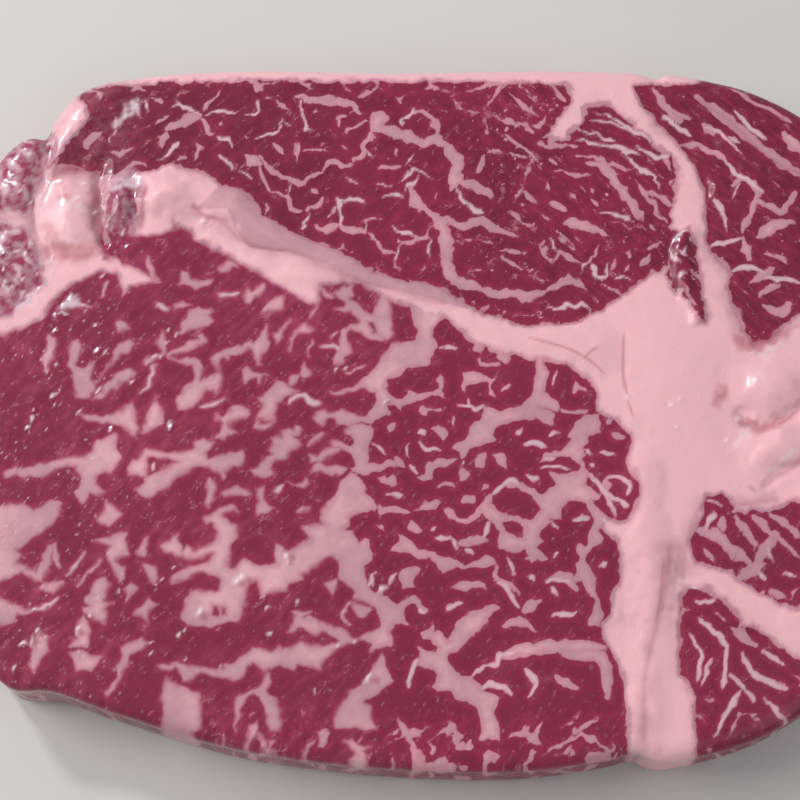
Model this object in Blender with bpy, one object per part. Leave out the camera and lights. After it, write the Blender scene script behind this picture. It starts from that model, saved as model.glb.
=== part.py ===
"""Raw beef rib steak: one solid slab, with the relief of its muscles, fat seams and lobes.

The steak lies flat, with its cut face up. +X runs along its length, +Y along its width and +Z up.
The origin is the middle of its box, on the underside. Feature places are written in millimetres.
"""

from dataclasses import dataclass

import bmesh
import bpy
import numpy as np
from mathutils import Vector
from mathutils.geometry import delaunay_2d_cdt

# Driving dimensions, in metres
STEAK_LENGTH = 0.194
STEAK_WIDTH = 0.148
STEAK_THICKNESS = 0.022
MILLIMETRE = 0.001

# Edge of the slab, in millimetres
RIM_REACH = 4.0
RIM_DROP = 2.6
TOP_INSET = 1.0
SHOULDER_INSET = 0.25
WALL_TOP_DROP = 4.5
WALL_FOOT_HEIGHT = 5.5
WALL_FOOT_INSET = 0.2
HEEL_HEIGHT = 1.2
HEEL_INSET = 0.9
UNDERSIDE_INSET = 2.6

# Fineness of the net, in millimetres
OUTLINE_STEP = 3.0
TOP_STEP = 2.65
UNDERSIDE_STEP = 12.0
LEAST_SPACING = 0.62
CURVE_STEPS = 24

# Outline of the slab seen from above, in millimetres, anticlockwise from its left end
OUTLINE = (
    (-97, 6), (-95, -14), (-95, -32), (-91, -48), (-84, -57.5), (-75, -58.6), (-62, -63), (-40, -69.5),
    (-15, -73), (12, -74), (30, -72), (37, -70.5), (44, -72), (62, -67), (78, -56), (88, -40), (93, -25),
    (94, -16), (97, -6), (96, 5), (94, 14), (94, 26), (89, 45), (80, 60), (66, 69), (50, 73), (46, 72.2),
    (40, 73.6), (20, 74), (-10, 73.5), (-40, 74), (-62, 72.5), (-75, 69), (-80.5, 62), (-81.5, 58.4),
    (-86, 58), (-91.5, 53), (-94.5, 44), (-94, 34), (-95.5, 22),
)


@dataclass(frozen=True)
class Lump:
    """A low rounded rise: its middle, its two half lengths, its turn in degrees and its height."""

    middle: tuple
    reach: tuple
    turn: float
    height: float


@dataclass(frozen=True)
class Ridge:
    """A rise along a path, or a groove where its height is below zero, fading out at half_width."""

    path: tuple
    half_width: float
    height: float
    crisp: bool = False


# Muscles, all in millimetres
EYE_MUSCLE = Lump((-28, -20), (82, 58), 8, 0.9)
CAP_MUSCLE = Lump((-8, 50), (62, 27), -6, 0.8)
END_MUSCLE_ROOF = Lump((76, 38), (24, 24), -40, 0.5)
LOWER_MUSCLE_NEAR = Lump((54, -51), (12, 17), 10, 0.8)
LOWER_MUSCLE_FAR = Lump((64, -28), (18, 9), -8, 0.8)
LOWER_MUSCLE_OUTER = Lump((78, -44), (13, 15), -20, 0.6)

# Fat and the tucked ends of the muscles
KNOB = Lump((-57, 44), (8.5, 7), -15, 2.1)
GLOSSY_NUB = Lump((-66, 42.5), (4.8, 7.5), -8, 1.9)
LEFT_LOBE = Lump((-75.6, 40.5), (8, 11.5), 6, 2.1)
LEFT_TIP = Lump((-87, 46.5), (7, 8), 30, 1.4)
LEFT_NUB = Lump((-85, 55), (5.5, 4.5), 15, 1.0)
LEFT_ROLL = Lump((-87, 30), (8, 10), -20, 0.9)
FAT_KERNEL = Lump((47, 5), (17, 27), 6, 1.2)
LOBE_UPPER = Lump((66.5, 3), (10, 7.5), 12, 2.1)
LOBE_LOWER = Lump((67, -9.8), (10, 6.5), 14, 1.9)
LOBE_LOWEST = Lump((76, -19), (10, 6), 20, 1.1)
LOBE_OUTER_UPPER = Lump((83, 8), (10, 7.5), 20, 1.5)
LOBE_OUTER_LOWER = Lump((85, -6), (10, 7), -8, 1.6)

LUMPS = (
    EYE_MUSCLE, CAP_MUSCLE, END_MUSCLE_ROOF, LOWER_MUSCLE_NEAR, LOWER_MUSCLE_FAR, LOWER_MUSCLE_OUTER,
    KNOB, GLOSSY_NUB, LEFT_LOBE, LEFT_TIP, LEFT_NUB, LEFT_ROLL, FAT_KERNEL, LOBE_UPPER, LOBE_LOWER,
    LOBE_LOWEST, LOBE_OUTER_UPPER, LOBE_OUTER_LOWER,
)

# Seams of fat that stand proud
DIAGONAL_SEAM = Ridge(
    ((-55, 44), (-47, 42.5), (-38, 36.5), (-28, 30.5), (-18, 27), (-8, 22.5), (4, 18.5), (16, 13), (30, 11)),
    8, 1.2,
)
LOWER_SEAM = Ridge(((40, -14), (40.5, -30), (41, -45), (39.5, -58), (38, -68)), 6, 0.8)
BACK_RIND = Ridge(((-79, 52), (-75.5, 60), (-68, 68)), 5, 0.9)
SMALL_FLAP = Ridge(((50.5, 36), (49.5, 28), (52.5, 18)), 3, 1.1)
END_STRIP_UPPER = Ridge(((60, 56), (67, 48), (73.5, 44.5), (84, 38)), 3.4, 0.7)
END_STRIP_LOWER = Ridge(((58, 46), (65, 42), (71, 37), (84, 28)), 3.4, 0.7)

# Creases and grooves between muscles and fat
SEAM_FOLD = Ridge(
    ((-50, 40), (-45, 38.5), (-40, 34.2), (-35, 32.3), (-30, 31.6), (-20, 27), (-8, 22.6), (1, 20.4)),
    1.9, -0.9, True,
)
CAP_EDGE = Ridge(
    (
        (-53, 51.6), (-45, 47), (-41, 46), (-36, 40.2), (-28, 35.2), (-20, 32), (-13, 27.5), (-2, 25), (6, 20.5),
        (16, 16.5), (25, 16.5), (34, 20.5), (46, 29.5),
    ), 2.2, -0.9, True,
)
EYE_EDGE = Ridge(
    (
        (-51, 37), (-45, 32), (-34, 25.5), (-25, 20.5), (-10, 21), (0, 18), (10, 10.5), (20, 8), (30, 4),
        (35, -4), (38.5, -12), (38, -23), (35, -33), (32.5, -43), (33, -51), (35.5, -62), (35, -71),
    ), 2.2, -0.6,
)
NUB_CREASE = Ridge(((-69.8, 52), (-70, 43), (-69, 34)), 2.0, -1.6, True)
KNOB_CREASE = Ridge(((-63.5, 50), (-62, 43), (-62.5, 37)), 1.8, -0.8)
LOBE_EDGE = Ridge(((-81, 55), (-83, 47), (-83.5, 39), (-80, 31)), 2.2, -1.3, True)
RIND_EDGE = Ridge(((-81, 57), (-79.5, 51), (-74, 51.5)), 1.9, -1.0, True)
END_MUSCLE_EDGE = Ridge(
    (
        (43, 69), (46, 61), (51, 56), (54.5, 49), (55.6, 40), (56, 32), (59.5, 27), (59.5, 22), (62.5, 12.5),
        (70, 15), (80, 19), (90, 20),
    ), 2.3, -1.1, True,
)
END_MUSCLE_FASCIA = Ridge(((55, 66), (60, 62), (65, 57), (70, 52), (82, 46)), 2.0, -0.8)
LOBE_CREASE = Ridge(((60, -3), (62, -5.4), (68, -4.3), (75, 0), (88, 2)), 2.0, -1.6, True)
LOWER_LOBE_CREASE = Ridge(((64, -17.5), (68, -15), (73, -12.5), (84, -13)), 2.0, -1.4, True)
KERNEL_CREASE = Ridge(((37, 14), (36.6, 6), (37.6, 0)), 1.8, -0.5)
LOWER_SEAM_FOLD = Ridge(((45, -30), (43.2, -41), (40.5, -50), (39, -57), (38.5, -68)), 2.0, -0.8, True)
LOWER_MUSCLE_GAP = Ridge(((48, -35), (58, -40.5), (68, -47), (82, -54)), 4.5, -0.6)
LOWER_MUSCLE_EDGE = Ridge(
    ((66, -20.5), (58, -21.5), (52, -21), (48.5, -29), (47, -39), (46, -52), (49, -65)), 2.2, -0.8
)

RIDGES = (
    DIAGONAL_SEAM, LOWER_SEAM, BACK_RIND, SMALL_FLAP, END_STRIP_UPPER, END_STRIP_LOWER, SEAM_FOLD, CAP_EDGE,
    EYE_EDGE, NUB_CREASE, KNOB_CREASE, LOBE_EDGE, RIND_EDGE, END_MUSCLE_EDGE, END_MUSCLE_FASCIA, LOBE_CREASE,
    LOWER_LOBE_CREASE, KERNEL_CREASE, LOWER_SEAM_FOLD, LOWER_MUSCLE_GAP, LOWER_MUSCLE_EDGE,
)

# Look of the plain solid
MEAT_COLOUR = (0.34, 0.10, 0.13, 1.0)
MEAT_ROUGHNESS = 0.35


def smooth_curve(points, closed):
    """Points along a Catmull-Rom curve through the given ones."""
    points = np.asarray(points, float)
    if closed:
        padded = np.concatenate([points[-1:], points, points[:2]])
    else:
        padded = np.concatenate([2 * points[:1] - points[1:2], points, 2 * points[-1:] - points[-2:-1]])
    before, start, end, after = padded[:-3], padded[1:-2], padded[2:-1], padded[3:]
    t = np.linspace(0, 1, CURVE_STEPS, endpoint=False)[None, :, None]
    before, start, end, after = (p[:, None, :] for p in (before, start, end, after))
    curve = 0.5 * (
        2 * start + (end - before) * t
        + (2 * before - 5 * start + 4 * end - after) * t**2
        + (3 * start - before - 3 * end + after) * t**3
    )
    curve = curve.reshape(-1, 2)
    return curve if closed else np.concatenate([curve, points[-1:]])


def even_points(curve, step, closed):
    """Points at equal distances along a curve, about one step apart."""
    if closed:
        curve = np.concatenate([curve, curve[:1]])
    lengths = np.linalg.norm(np.diff(curve, axis=0), axis=1)
    travelled = np.concatenate([[0], np.cumsum(lengths)])
    count = max(2, round(travelled[-1] / step)) + (0 if closed else 1)
    places = np.linspace(0, travelled[-1], count, endpoint=not closed)
    return np.stack([np.interp(places, travelled, curve[:, axis]) for axis in (0, 1)], axis=1)


def fitted_outline():
    """The outline as even points, stretched to the steak's own length and width and centred on its box."""
    curve = smooth_curve(OUTLINE, closed=True)
    low, high = curve.min(axis=0), curve.max(axis=0)
    target = np.array([STEAK_LENGTH, STEAK_WIDTH]) / MILLIMETRE
    even = even_points(curve * target / (high - low), OUTLINE_STEP, closed=True)
    low, high = even.min(axis=0), even.max(axis=0)
    return (even - (low + high) / 2) * target / (high - low)


def inset(outline, distance):
    """The outline moved inwards by a distance, along the normal at each point."""
    along = np.roll(outline, -1, axis=0) - np.roll(outline, 1, axis=0)
    along /= np.linalg.norm(along, axis=1, keepdims=True)
    inwards = np.stack([-along[:, 1], along[:, 0]], axis=1)
    return outline + inwards * distance


def distance_to_path(points, path):
    """Distance from each point to the nearest place on a line of straight runs."""
    nearest = np.full(len(points), np.inf)
    for start, end in zip(path[:-1], path[1:]):
        run = end - start
        share = np.clip((points - start) @ run / (run @ run), 0, 1)
        nearest = np.minimum(nearest, np.linalg.norm(points - start - share[:, None] * run, axis=1))
    return nearest


def inside(points, outline):
    """Which points lie inside the outline: a line to their right crosses it an odd number of times."""
    crossings = np.zeros(len(points), int)
    for start, end in zip(outline, np.roll(outline, -1, axis=0)):
        spans = (start[1] > points[:, 1]) != (end[1] > points[:, 1])
        climb = end[1] - start[1] if end[1] != start[1] else 1.0
        crossing = start[0] + (points[:, 1] - start[1]) * (end[0] - start[0]) / climb
        crossings += spans & (points[:, 0] < crossing)
    return crossings % 2 == 1


def fade(distance):
    """1 at distance 0, falling smoothly to 0 at distance 1."""
    near = np.clip(1 - distance, 0, 1)
    return near * near * (3 - 2 * near)


def relief(points):
    """Height of the lumps, ridges and grooves at each point, above the plain cut face."""
    height = np.zeros(len(points))
    for lump in LUMPS:
        turn = np.radians(lump.turn)
        offset = points - np.array(lump.middle)
        along = offset @ np.array([np.cos(turn), np.sin(turn)]) / lump.reach[0]
        across = offset @ np.array([-np.sin(turn), np.cos(turn)]) / lump.reach[1]
        height += lump.height * fade(np.hypot(along, across))
    for ridge in RIDGES:
        distance = distance_to_path(points, smooth_curve(ridge.path, closed=False))
        height += ridge.height * fade(distance / ridge.half_width)
    return height


def rim_fall(distance):
    """How far the face has dropped at a distance in from the outline: a quarter of an ellipse."""
    out = 1 - np.clip(distance, 0, RIM_REACH) / RIM_REACH
    return RIM_DROP * (1 - np.sqrt(1 - out**2))


def staggered_grid(low, high, step):
    """Points in rows, each row half a step to the side of the one before."""
    rows = np.arange(low[1], high[1], step * np.sqrt(3) / 2)
    columns = np.arange(low[0], high[0], step)
    x, y = np.meshgrid(columns, rows)
    x[1::2] += step / 2
    return np.stack([x.ravel(), y.ravel()], axis=1)


def net_over(boundary, fixed, step):
    """Triangles over the area inside a boundary: (points, faces), with the boundary's points first."""
    points = np.concatenate([boundary, fixed]) if len(fixed) else boundary
    filling = staggered_grid(boundary.min(axis=0), boundary.max(axis=0), step)
    filling = filling[inside(filling, boundary)]
    gaps = np.linalg.norm(filling[:, None] - points[None], axis=2).min(axis=1)
    points = np.concatenate([points, filling[gaps > LEAST_SPACING * step]])
    count = len(boundary)
    edges = [(index, (index + 1) % count) for index in range(count)]
    found, _, faces, sources, _, _ = delaunay_2d_cdt([Vector(point) for point in points], edges, [], 1, 1e-5)
    order = [source[0] for source in sources]
    assert len(found) == len(points)
    return points, [tuple(order[index] for index in face) for face in faces]


def crease_points(boundary, outline):
    """Points along the crisp creases, so that the net's edges follow them."""
    kept = np.empty((0, 2))
    for ridge in (ridge for ridge in RIDGES if ridge.crisp):
        line = even_points(smooth_curve(ridge.path, closed=False), TOP_STEP, closed=False)
        line = line[inside(line, boundary)]
        line = line[distance_to_path(line, np.concatenate([outline, outline[:1]])) > RIM_REACH]
        if len(kept) and len(line):
            line = line[np.linalg.norm(line[:, None] - kept[None], axis=2).min(axis=1) > LEAST_SPACING * TOP_STEP]
        kept = np.concatenate([kept, line])
    return kept


def steak_mesh():
    """The closed slab: its cut face, the rings of its wall and its flat underside, in millimetres."""
    outline = fitted_outline()
    closed_outline = np.concatenate([outline, outline[:1]])
    top_boundary = inset(outline, TOP_INSET)
    top, top_faces = net_over(top_boundary, crease_points(top_boundary, outline), TOP_STEP)
    rise = relief(top) - rim_fall(distance_to_path(top, closed_outline))
    plain_face = STEAK_THICKNESS / MILLIMETRE - rise.max()
    top_height = plain_face + rise
    rim_height = plain_face + relief(outline)

    shoulder_height = rim_height - rim_fall(np.full(len(outline), SHOULDER_INSET))
    rings = (
        (SHOULDER_INSET, shoulder_height),
        (0.0, rim_height - WALL_TOP_DROP),
        (WALL_FOOT_INSET, np.full(len(outline), WALL_FOOT_HEIGHT)),
        (HEEL_INSET, np.full(len(outline), HEEL_HEIGHT)),
    )
    underside, underside_faces = net_over(inset(outline, UNDERSIDE_INSET), [], UNDERSIDE_STEP)

    count = len(outline)
    points = [np.column_stack([top, top_height])]
    faces = list(top_faces)
    upper = np.arange(count)
    start = len(top)
    for distance, height in rings:
        points.append(np.column_stack([inset(outline, distance), height]))
        lower = start + np.arange(count)
        faces += wall_faces(upper, lower)
        upper, start = lower, start + count
    points.append(np.column_stack([underside, np.zeros(len(underside))]))
    faces += wall_faces(upper, start + np.arange(count))
    faces += [tuple(start + index for index in face) for face in underside_faces]
    return np.concatenate(points), faces


def wall_faces(upper, lower):
    """Two triangles for each step between two rings of the wall."""
    following_upper, following_lower = np.roll(upper, -1), np.roll(lower, -1)
    first = zip(upper, lower, following_lower)
    second = zip(upper, following_lower, following_upper)
    return [tuple(int(index) for index in face) for face in (*first, *second)]


def meat_material():
    """Plain wet meat, in the middle colour of lean and fat."""
    material = bpy.data.materials.new("raw_beef")
    material.use_nodes = True
    shader = material.node_tree.nodes["Principled BSDF"]
    shader.inputs["Base Color"].default_value = MEAT_COLOUR
    shader.inputs["Roughness"].default_value = MEAT_ROUGHNESS
    shader.inputs["Metallic"].default_value = 0.0
    return material


def make_steak():
    """Makes the steak's object in the scene."""
    points, faces = steak_mesh()
    mesh = bpy.data.meshes.new("beef_steak")
    mesh.from_pydata((points * MILLIMETRE).tolist(), [], faces)
    shape = bmesh.new()
    shape.from_mesh(mesh)
    bmesh.ops.recalc_face_normals(shape, faces=shape.faces)
    shape.to_mesh(mesh)
    shape.free()
    mesh.shade_smooth()
    mesh.set_sharp_from_angle(angle=np.radians(60))
    mesh.materials.append(meat_material())
    steak = bpy.data.objects.new("beef_steak", mesh)
    bpy.context.scene.collection.objects.link(steak)


def main():
    for leftover in list(bpy.data.objects):
        bpy.data.objects.remove(leftover, do_unlink=True)
    make_steak()


main()
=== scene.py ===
"""Raw beef rib steak: the wet, marbled skin of one slab of meat, dressed on its frame.

Places on the steak are written in millimetres, in the frame's own axes, and turned into metres when a mesh is
made. "Lean" is a signed field: above zero inside red meat, below zero inside fat, and about as large as the
distance to their border. Shapes given one by one are written as text: a place as "x,y", places with a space
between them, and where there are several strokes or areas, a semicolon between these.
"""

import logging
import math
from dataclasses import dataclass, field, replace
from enum import Enum
from typing import Any, Callable, Sequence

import bpy
import numpy as np
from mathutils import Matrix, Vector


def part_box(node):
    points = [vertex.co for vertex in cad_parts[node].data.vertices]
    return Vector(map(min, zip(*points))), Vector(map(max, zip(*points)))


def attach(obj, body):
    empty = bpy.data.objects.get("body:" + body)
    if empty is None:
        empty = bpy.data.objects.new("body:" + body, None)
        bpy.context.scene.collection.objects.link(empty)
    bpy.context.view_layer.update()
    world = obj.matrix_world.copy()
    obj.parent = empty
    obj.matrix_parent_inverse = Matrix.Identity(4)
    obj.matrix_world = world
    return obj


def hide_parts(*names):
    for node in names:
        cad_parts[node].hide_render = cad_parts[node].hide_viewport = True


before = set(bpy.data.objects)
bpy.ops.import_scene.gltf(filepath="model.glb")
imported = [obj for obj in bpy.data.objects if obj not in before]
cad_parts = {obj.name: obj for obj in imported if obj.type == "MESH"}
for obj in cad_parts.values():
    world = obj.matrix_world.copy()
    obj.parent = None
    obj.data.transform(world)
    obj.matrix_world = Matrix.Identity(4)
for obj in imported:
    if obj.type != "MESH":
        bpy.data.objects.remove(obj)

Array = np.ndarray
Point = tuple[float, float]
Place = tuple[float, float, float]
Colour = tuple[float, float, float, float]

MILLIMETRE = 0.001
CLEARANCE = 0.02
NODE = "beef_steak"
BODY = "root"
UV_MAP = "OFBake"

log = logging.getLogger("steak")


# Curves and distances

def smooth_curve(through: Sequence[Point], closed: bool, steps: int = 12) -> Array:
    """A curve through points.

    Between two points it is the cubic whose slope at each is half the step between that point's neighbours.

    Args:
        through: the places that the curve goes through.
        closed: whether it returns to its start.
        steps: how many places it has for each run.

    Returns:
        The curve's places, one row each.
    """
    knots = np.asarray(through, float)
    if closed:
        padded = np.concatenate([knots[-1:], knots, knots[:2]])
    else:
        padded = np.concatenate([2 * knots[:1] - knots[1:2], knots, 2 * knots[-1:] - knots[-2:-1]])
    before, start, end, after = (p[:, None, :] for p in (padded[:-3], padded[1:-2], padded[2:-1], padded[3:]))
    t = np.linspace(0, 1, steps, endpoint=False)[None, :, None]
    curve = 0.5 * (
        2 * start + (end - before) * t
        + (2 * before - 5 * start + 4 * end - after) * t**2
        + (3 * start - before - 3 * end + after) * t**3
    ).reshape(-1, knots.shape[1])
    return curve if closed else np.concatenate([curve, knots[-1:]])


def run_distance(x: Array, y: Array, path: Array, half_width: Array | None = None) -> Array:
    """Distance to a line of straight runs, less its half width there.

    Args:
        x, y: the places to measure.
        path: the line's corners.
        half_width: half the line's width at each corner.

    Returns:
        The distance at each place, below zero inside the line's width.
    """
    nearest = np.full(x.shape, np.inf)
    for index, (start, end) in enumerate(zip(path[:-1], path[1:])):
        run = end - start
        share = np.clip(((x - start[0]) * run[0] + (y - start[1]) * run[1]) / max(run @ run, 1e-9), 0, 1)
        gap = np.hypot(x - start[0] - share * run[0], y - start[1] - share * run[1])
        if half_width is not None:
            gap = gap - (half_width[index] + share * (half_width[index + 1] - half_width[index]))
        nearest = np.minimum(nearest, gap)
    return nearest


def area_distance(x: Array, y: Array, corners: Sequence[Point] | Array) -> Array:
    """Signed distance to a closed area's border, above zero inside.

    A place is inside when a line from it to the right crosses an odd number of the area's sides.

    Args:
        x, y: the places to measure.
        corners: the area's corners.

    Returns:
        The distance at each place.
    """
    corners = np.asarray(corners, float)
    gap = run_distance(x, y, np.concatenate([corners, corners[:1]]))
    inside = np.zeros(x.shape, bool)
    for start, end in zip(corners, np.roll(corners, -1, axis=0)):
        if start[1] == end[1]:
            continue
        spans = (start[1] > y) != (end[1] > y)
        inside ^= spans & (x < start[0] + (y - start[1]) * (end[0] - start[0]) / (end[1] - start[1]))
    return np.where(inside, gap, -gap)


def fade(distance: Array) -> Array:
    """1 at distance 0, falling smoothly to 0 at distance 1."""
    near_share = np.clip(1 - distance, 0, 1)
    return near_share * near_share * (3 - 2 * near_share)


def rise(value: Array, low: float, high: float) -> Array:
    """0 below low, rising smoothly to 1 at high."""
    return 1 - fade((value - low) / (high - low))


def near(x: Array, y: Array, path: Sequence[Point] | Array, reach: float) -> Array:
    """The indices of the places within reach of a path's box."""
    path = np.asarray(path, float)
    low, high = path.min(axis=0) - reach, path.max(axis=0) + reach
    return np.flatnonzero((x > low[0]) & (x < high[0]) & (y > low[1]) & (y < high[1]))


def turned(x: Array, y: Array, degrees: float | Array, along: float, across: float) -> tuple[Array, Array]:
    """Places measured along and across a direction, in units of the two lengths."""
    c, s = np.cos(np.radians(degrees)), np.sin(np.radians(degrees))
    return (x * c + y * s) / along, (y * c - x * s) / across


# Repeatable noise

class Noise:
    """Lattice noise worked out on whole arrays. Lengths are in cells of the lattice."""

    @staticmethod
    def chance(i: Array, j: Array, seed: int) -> Array:
        """A number from 0 to 1 for each lattice corner, by mixing its whole-number place."""
        h = i.astype(np.int64) * 374761393 + j.astype(np.int64) * 668265263 + seed * 362437
        h = (h ^ (h >> 13)) * 1274126177 & 0x7FFFFFFF
        h = (h ^ (h >> 15)) * 2246822519 & 0x7FFFFFFF
        return ((h ^ (h >> 11)) & 0xFFFFF) / float(0xFFFFF)

    @classmethod
    def smooth(cls, x: Array, y: Array, seed: int) -> Array:
        """Gradient noise, about -1 to 1.

        Each corner gives its slope times the way to it, and the four are blended by 6t^5 - 15t^4 + 10t^3.

        Args:
            x, y: the places, in cells.
            seed: which noise it is.

        Returns:
            The noise at each place.
        """
        i, j = np.floor(x), np.floor(y)
        u, v = x - i, y - j
        total = np.zeros(x.shape)
        weight_u = u * u * u * (u * (u * 6 - 15) + 10)
        weight_v = v * v * v * (v * (v * 6 - 15) + 10)
        for di in (0, 1):
            for dj in (0, 1):
                angle = 2 * np.pi * cls.chance(i + di, j + dj, seed)
                slope = np.cos(angle) * (u - di) + np.sin(angle) * (v - dj)
                total += slope * np.where(di, weight_u, 1 - weight_u) * np.where(dj, weight_v, 1 - weight_v)
        return total * 1.5

    @classmethod
    def angular(cls, x: Array, y: Array, seed: int) -> Array:
        """Noise with straight slopes and kinks, -1 to 1: the corners' numbers, blended in proportion."""
        i, j = np.floor(x), np.floor(y)
        u, v = x - i, y - j
        near_row = cls.chance(i, j, seed) * (1 - u) + cls.chance(i + 1, j, seed) * u
        far_row = cls.chance(i, j + 1, seed) * (1 - u) + cls.chance(i + 1, j + 1, seed) * u
        return 2 * (near_row * (1 - v) + far_row * v) - 1

    @classmethod
    def layered(cls, x: Array, y: Array, seed: int, layers: int = 3, gain: float = 0.5) -> Array:
        """The sum of noises, each twice as fine as the last and gain times as strong."""
        total, strength, whole = np.zeros(x.shape), 1.0, 0.0
        for layer in range(layers):
            finer_x, finer_y = x * 2**layer + 17.3 * layer, y * 2**layer - 9.1 * layer
            total += strength * cls.smooth(finer_x, finer_y, seed + layer)
            whole += strength
            strength *= gain
        return total / whole

    @classmethod
    def cells(cls, x: Array, y: Array, seed: int, jitter: float) -> Array:
        """Distance to the nearest border between cells round scattered points.

        The border between two points is the line halfway, so the distance is that to the line, the least over
        all neighbours of the nearest point.

        Args:
            x, y: the places, in cells.
            seed: which noise it is.
            jitter: how far a point may lie from its cell's middle, as a share of the cell.

        Returns:
            The distance at each place, in cells.
        """
        i, j = np.floor(x), np.floor(y)
        best = np.full(x.shape, np.inf)
        best_x, best_y = np.zeros(x.shape), np.zeros(x.shape)
        spots = []
        for di in (-2, -1, 0, 1, 2):
            for dj in (-2, -1, 0, 1, 2):
                ci, cj = i + di, j + dj
                px = ci + 0.5 + jitter * (cls.chance(ci, cj, seed) - 0.5) - x
                py = cj + 0.5 + jitter * (cls.chance(ci, cj, seed + 1) - 0.5) - y
                spots.append((px, py))
                gap = px * px + py * py
                closer = gap < best
                best = np.where(closer, gap, best)
                best_x, best_y = np.where(closer, px, best_x), np.where(closer, py, best_y)
        border = np.full(x.shape, np.inf)
        for px, py in spots:
            way_x, way_y = px - best_x, py - best_y
            length = np.hypot(way_x, way_y)
            apart = length > 1e-6
            length = np.where(apart, length, 1)
            to_border = ((px + best_x) * way_x + (py + best_y) * way_y) / (2 * length)
            border = np.where(apart, np.minimum(border, to_border), border)
        return border


@dataclass(frozen=True)
class Grain:
    """One kind of layered noise: its length and breadth in mm, its seed, its layers, its turn in degrees."""

    length: float
    seed: int
    layers: int = 3
    gain: float = 0.5
    breadth: float | None = None
    turn: float = 0.0

    def at(self, x: Array, y: Array, turn: Array | None = None) -> Array:
        """The noise at each place, stretched along its own direction or a given one."""
        direction = self.turn if turn is None else turn
        along, across = turned(x, y, direction, self.length, self.breadth or self.length)
        return Noise.layered(along, across, self.seed, self.layers, self.gain)


# The forms on the slab, and what reads them

@dataclass(frozen=True)
class Lump:
    """A low rounded rise: its middle, its two half lengths, its turn in degrees and its height."""

    middle: Point
    reach: Point
    turn: float
    height: float

    def add_to(self, height: Array, x: Array, y: Array) -> None:
        """Adds the rise: its height times a fade over the scaled distance from its middle."""
        along, across = turned(x - self.middle[0], y - self.middle[1], self.turn, *self.reach)
        height += self.height * fade(np.hypot(along, across))


@dataclass(frozen=True)
class Ridge:
    """A rise along a path, or a groove where its height is below zero, fading out at half_width."""

    path: tuple[Point, ...]
    half_width: float
    height: float

    def curve(self) -> Array:
        """The ridge's middle line."""
        return smooth_curve(self.path, closed=False, steps=6)

    def add_to(self, height: Array, x: Array, y: Array) -> None:
        """Adds the rise: its height times a fade over the distance from its path."""
        path = self.curve()
        found = near(x, y, path, self.half_width)
        height[found] += self.height * fade(run_distance(x[found], y[found], path) / self.half_width)


@dataclass(frozen=True)
class Vein:
    """A streak of fat, or a strip of lean, along a path: its full width, narrowing at both ends."""

    path: tuple[Point, ...]
    width: float
    narrowing: float = 0.55

    def distance(self, x: Array, y: Array) -> Array:
        """Distance outside the streak, whose half width is full in the middle and narrower at the ends."""
        if len(self.path) > 2:
            path = smooth_curve(self.path, closed=False, steps=4)
        else:
            path = np.array([self.path[0], np.mean(self.path, axis=0), self.path[1]])
        share = np.linspace(-1, 1, len(path))
        return run_distance(x, y, path, self.width / 2 * (1 - self.narrowing * np.abs(share) ** 4))


@dataclass(frozen=True)
class Drop:
    """A drop of moisture: its middle and its size in millimetres."""

    middle: Point
    size: float


def points(text: str) -> tuple[Point, ...]:
    """Reads places written as "x,y x,y"."""
    return tuple(tuple(float(number) for number in place.split(",")) for place in text.split())


def strokes(text: str) -> list[tuple[tuple[Point, ...], list[float]]]:
    """Reads the path and the sizes of strokes written as "sizes: x,y x,y; sizes: x,y x,y"."""
    parted = [stroke.split(":") for stroke in text.split(";")]
    return [(points(path), [float(size) for size in sizes.split()]) for sizes, path in parted]


def veins(text: str) -> tuple[Vein, ...]:
    """Reads streaks, each written as "width: x,y x,y"."""
    return tuple(Vein(path, *sizes) for path, sizes in strokes(text))


def ridges(text: str) -> tuple[Ridge, ...]:
    """Reads ridges, each written as "half_width height: x,y x,y"."""
    return tuple(Ridge(path, *sizes) for path, sizes in strokes(text))


def drops(text: str) -> tuple[Drop, ...]:
    """Reads drops, those of one size written as "size: x,y x,y"."""
    return tuple(Drop(middle, *sizes) for path, sizes in strokes(text) for middle in path)


def areas(text: str) -> tuple[tuple[Point, ...], ...]:
    """Reads closed areas, each written as "x,y x,y"."""
    return tuple(points(area) for area in text.split(";"))


OUTLINE = points(
    """-97,6 -95,-14 -95,-32 -91,-48 -84,-57.5 -75,-58.6 -62,-63 -40,-69.5 -15,-73 12,-74 30,-72 37,-70.5
44,-72 62,-67 78,-56 88,-40 93,-25 94,-16 97,-6 96,5 94,14 94,26 89,45 80,60 66,69 50,73 46,72.2 40,73.6
20,74 -10,73.5 -40,74 -62,72.5 -75,69 -80.5,62 -81.5,58.4 -86,58 -91.5,53 -94.5,44 -94,34 -95.5,22"""
)

LUMPS = (
    # Muscles
    Lump((-28, -20), (82, 58), 8, 0.9), Lump((-8, 50), (62, 27), -6, 0.8),
    Lump((76, 38), (24, 24), -40, 0.5), Lump((54, -51), (12, 17), 10, 0.8),
    Lump((64, -28), (18, 9), -8, 0.8), Lump((78, -44), (13, 15), -20, 0.6),
    # Knob, nub, lobe and tips at the left end
    Lump((-57, 44), (8.5, 7), -15, 2.1), Lump((-66, 42.5), (4.8, 7.5), -8, 1.9),
    Lump((-75.6, 40.5), (8, 11.5), 6, 2.1), Lump((-87, 46.5), (7, 8), 30, 1.4),
    Lump((-85, 55), (5.5, 4.5), 15, 1.0), Lump((-87, 30), (8, 10), -20, 0.9),
    # Fat kernel and the lobes to its right
    Lump((47, 5), (17, 27), 6, 1.2), Lump((66.5, 3), (10, 7.5), 12, 2.1),
    Lump((67, -9.8), (10, 6.5), 14, 1.9), Lump((76, -19), (10, 6), 20, 1.1),
    Lump((83, 8), (10, 7.5), 20, 1.5), Lump((85, -6), (10, 7), -8, 1.6),
)

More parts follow.
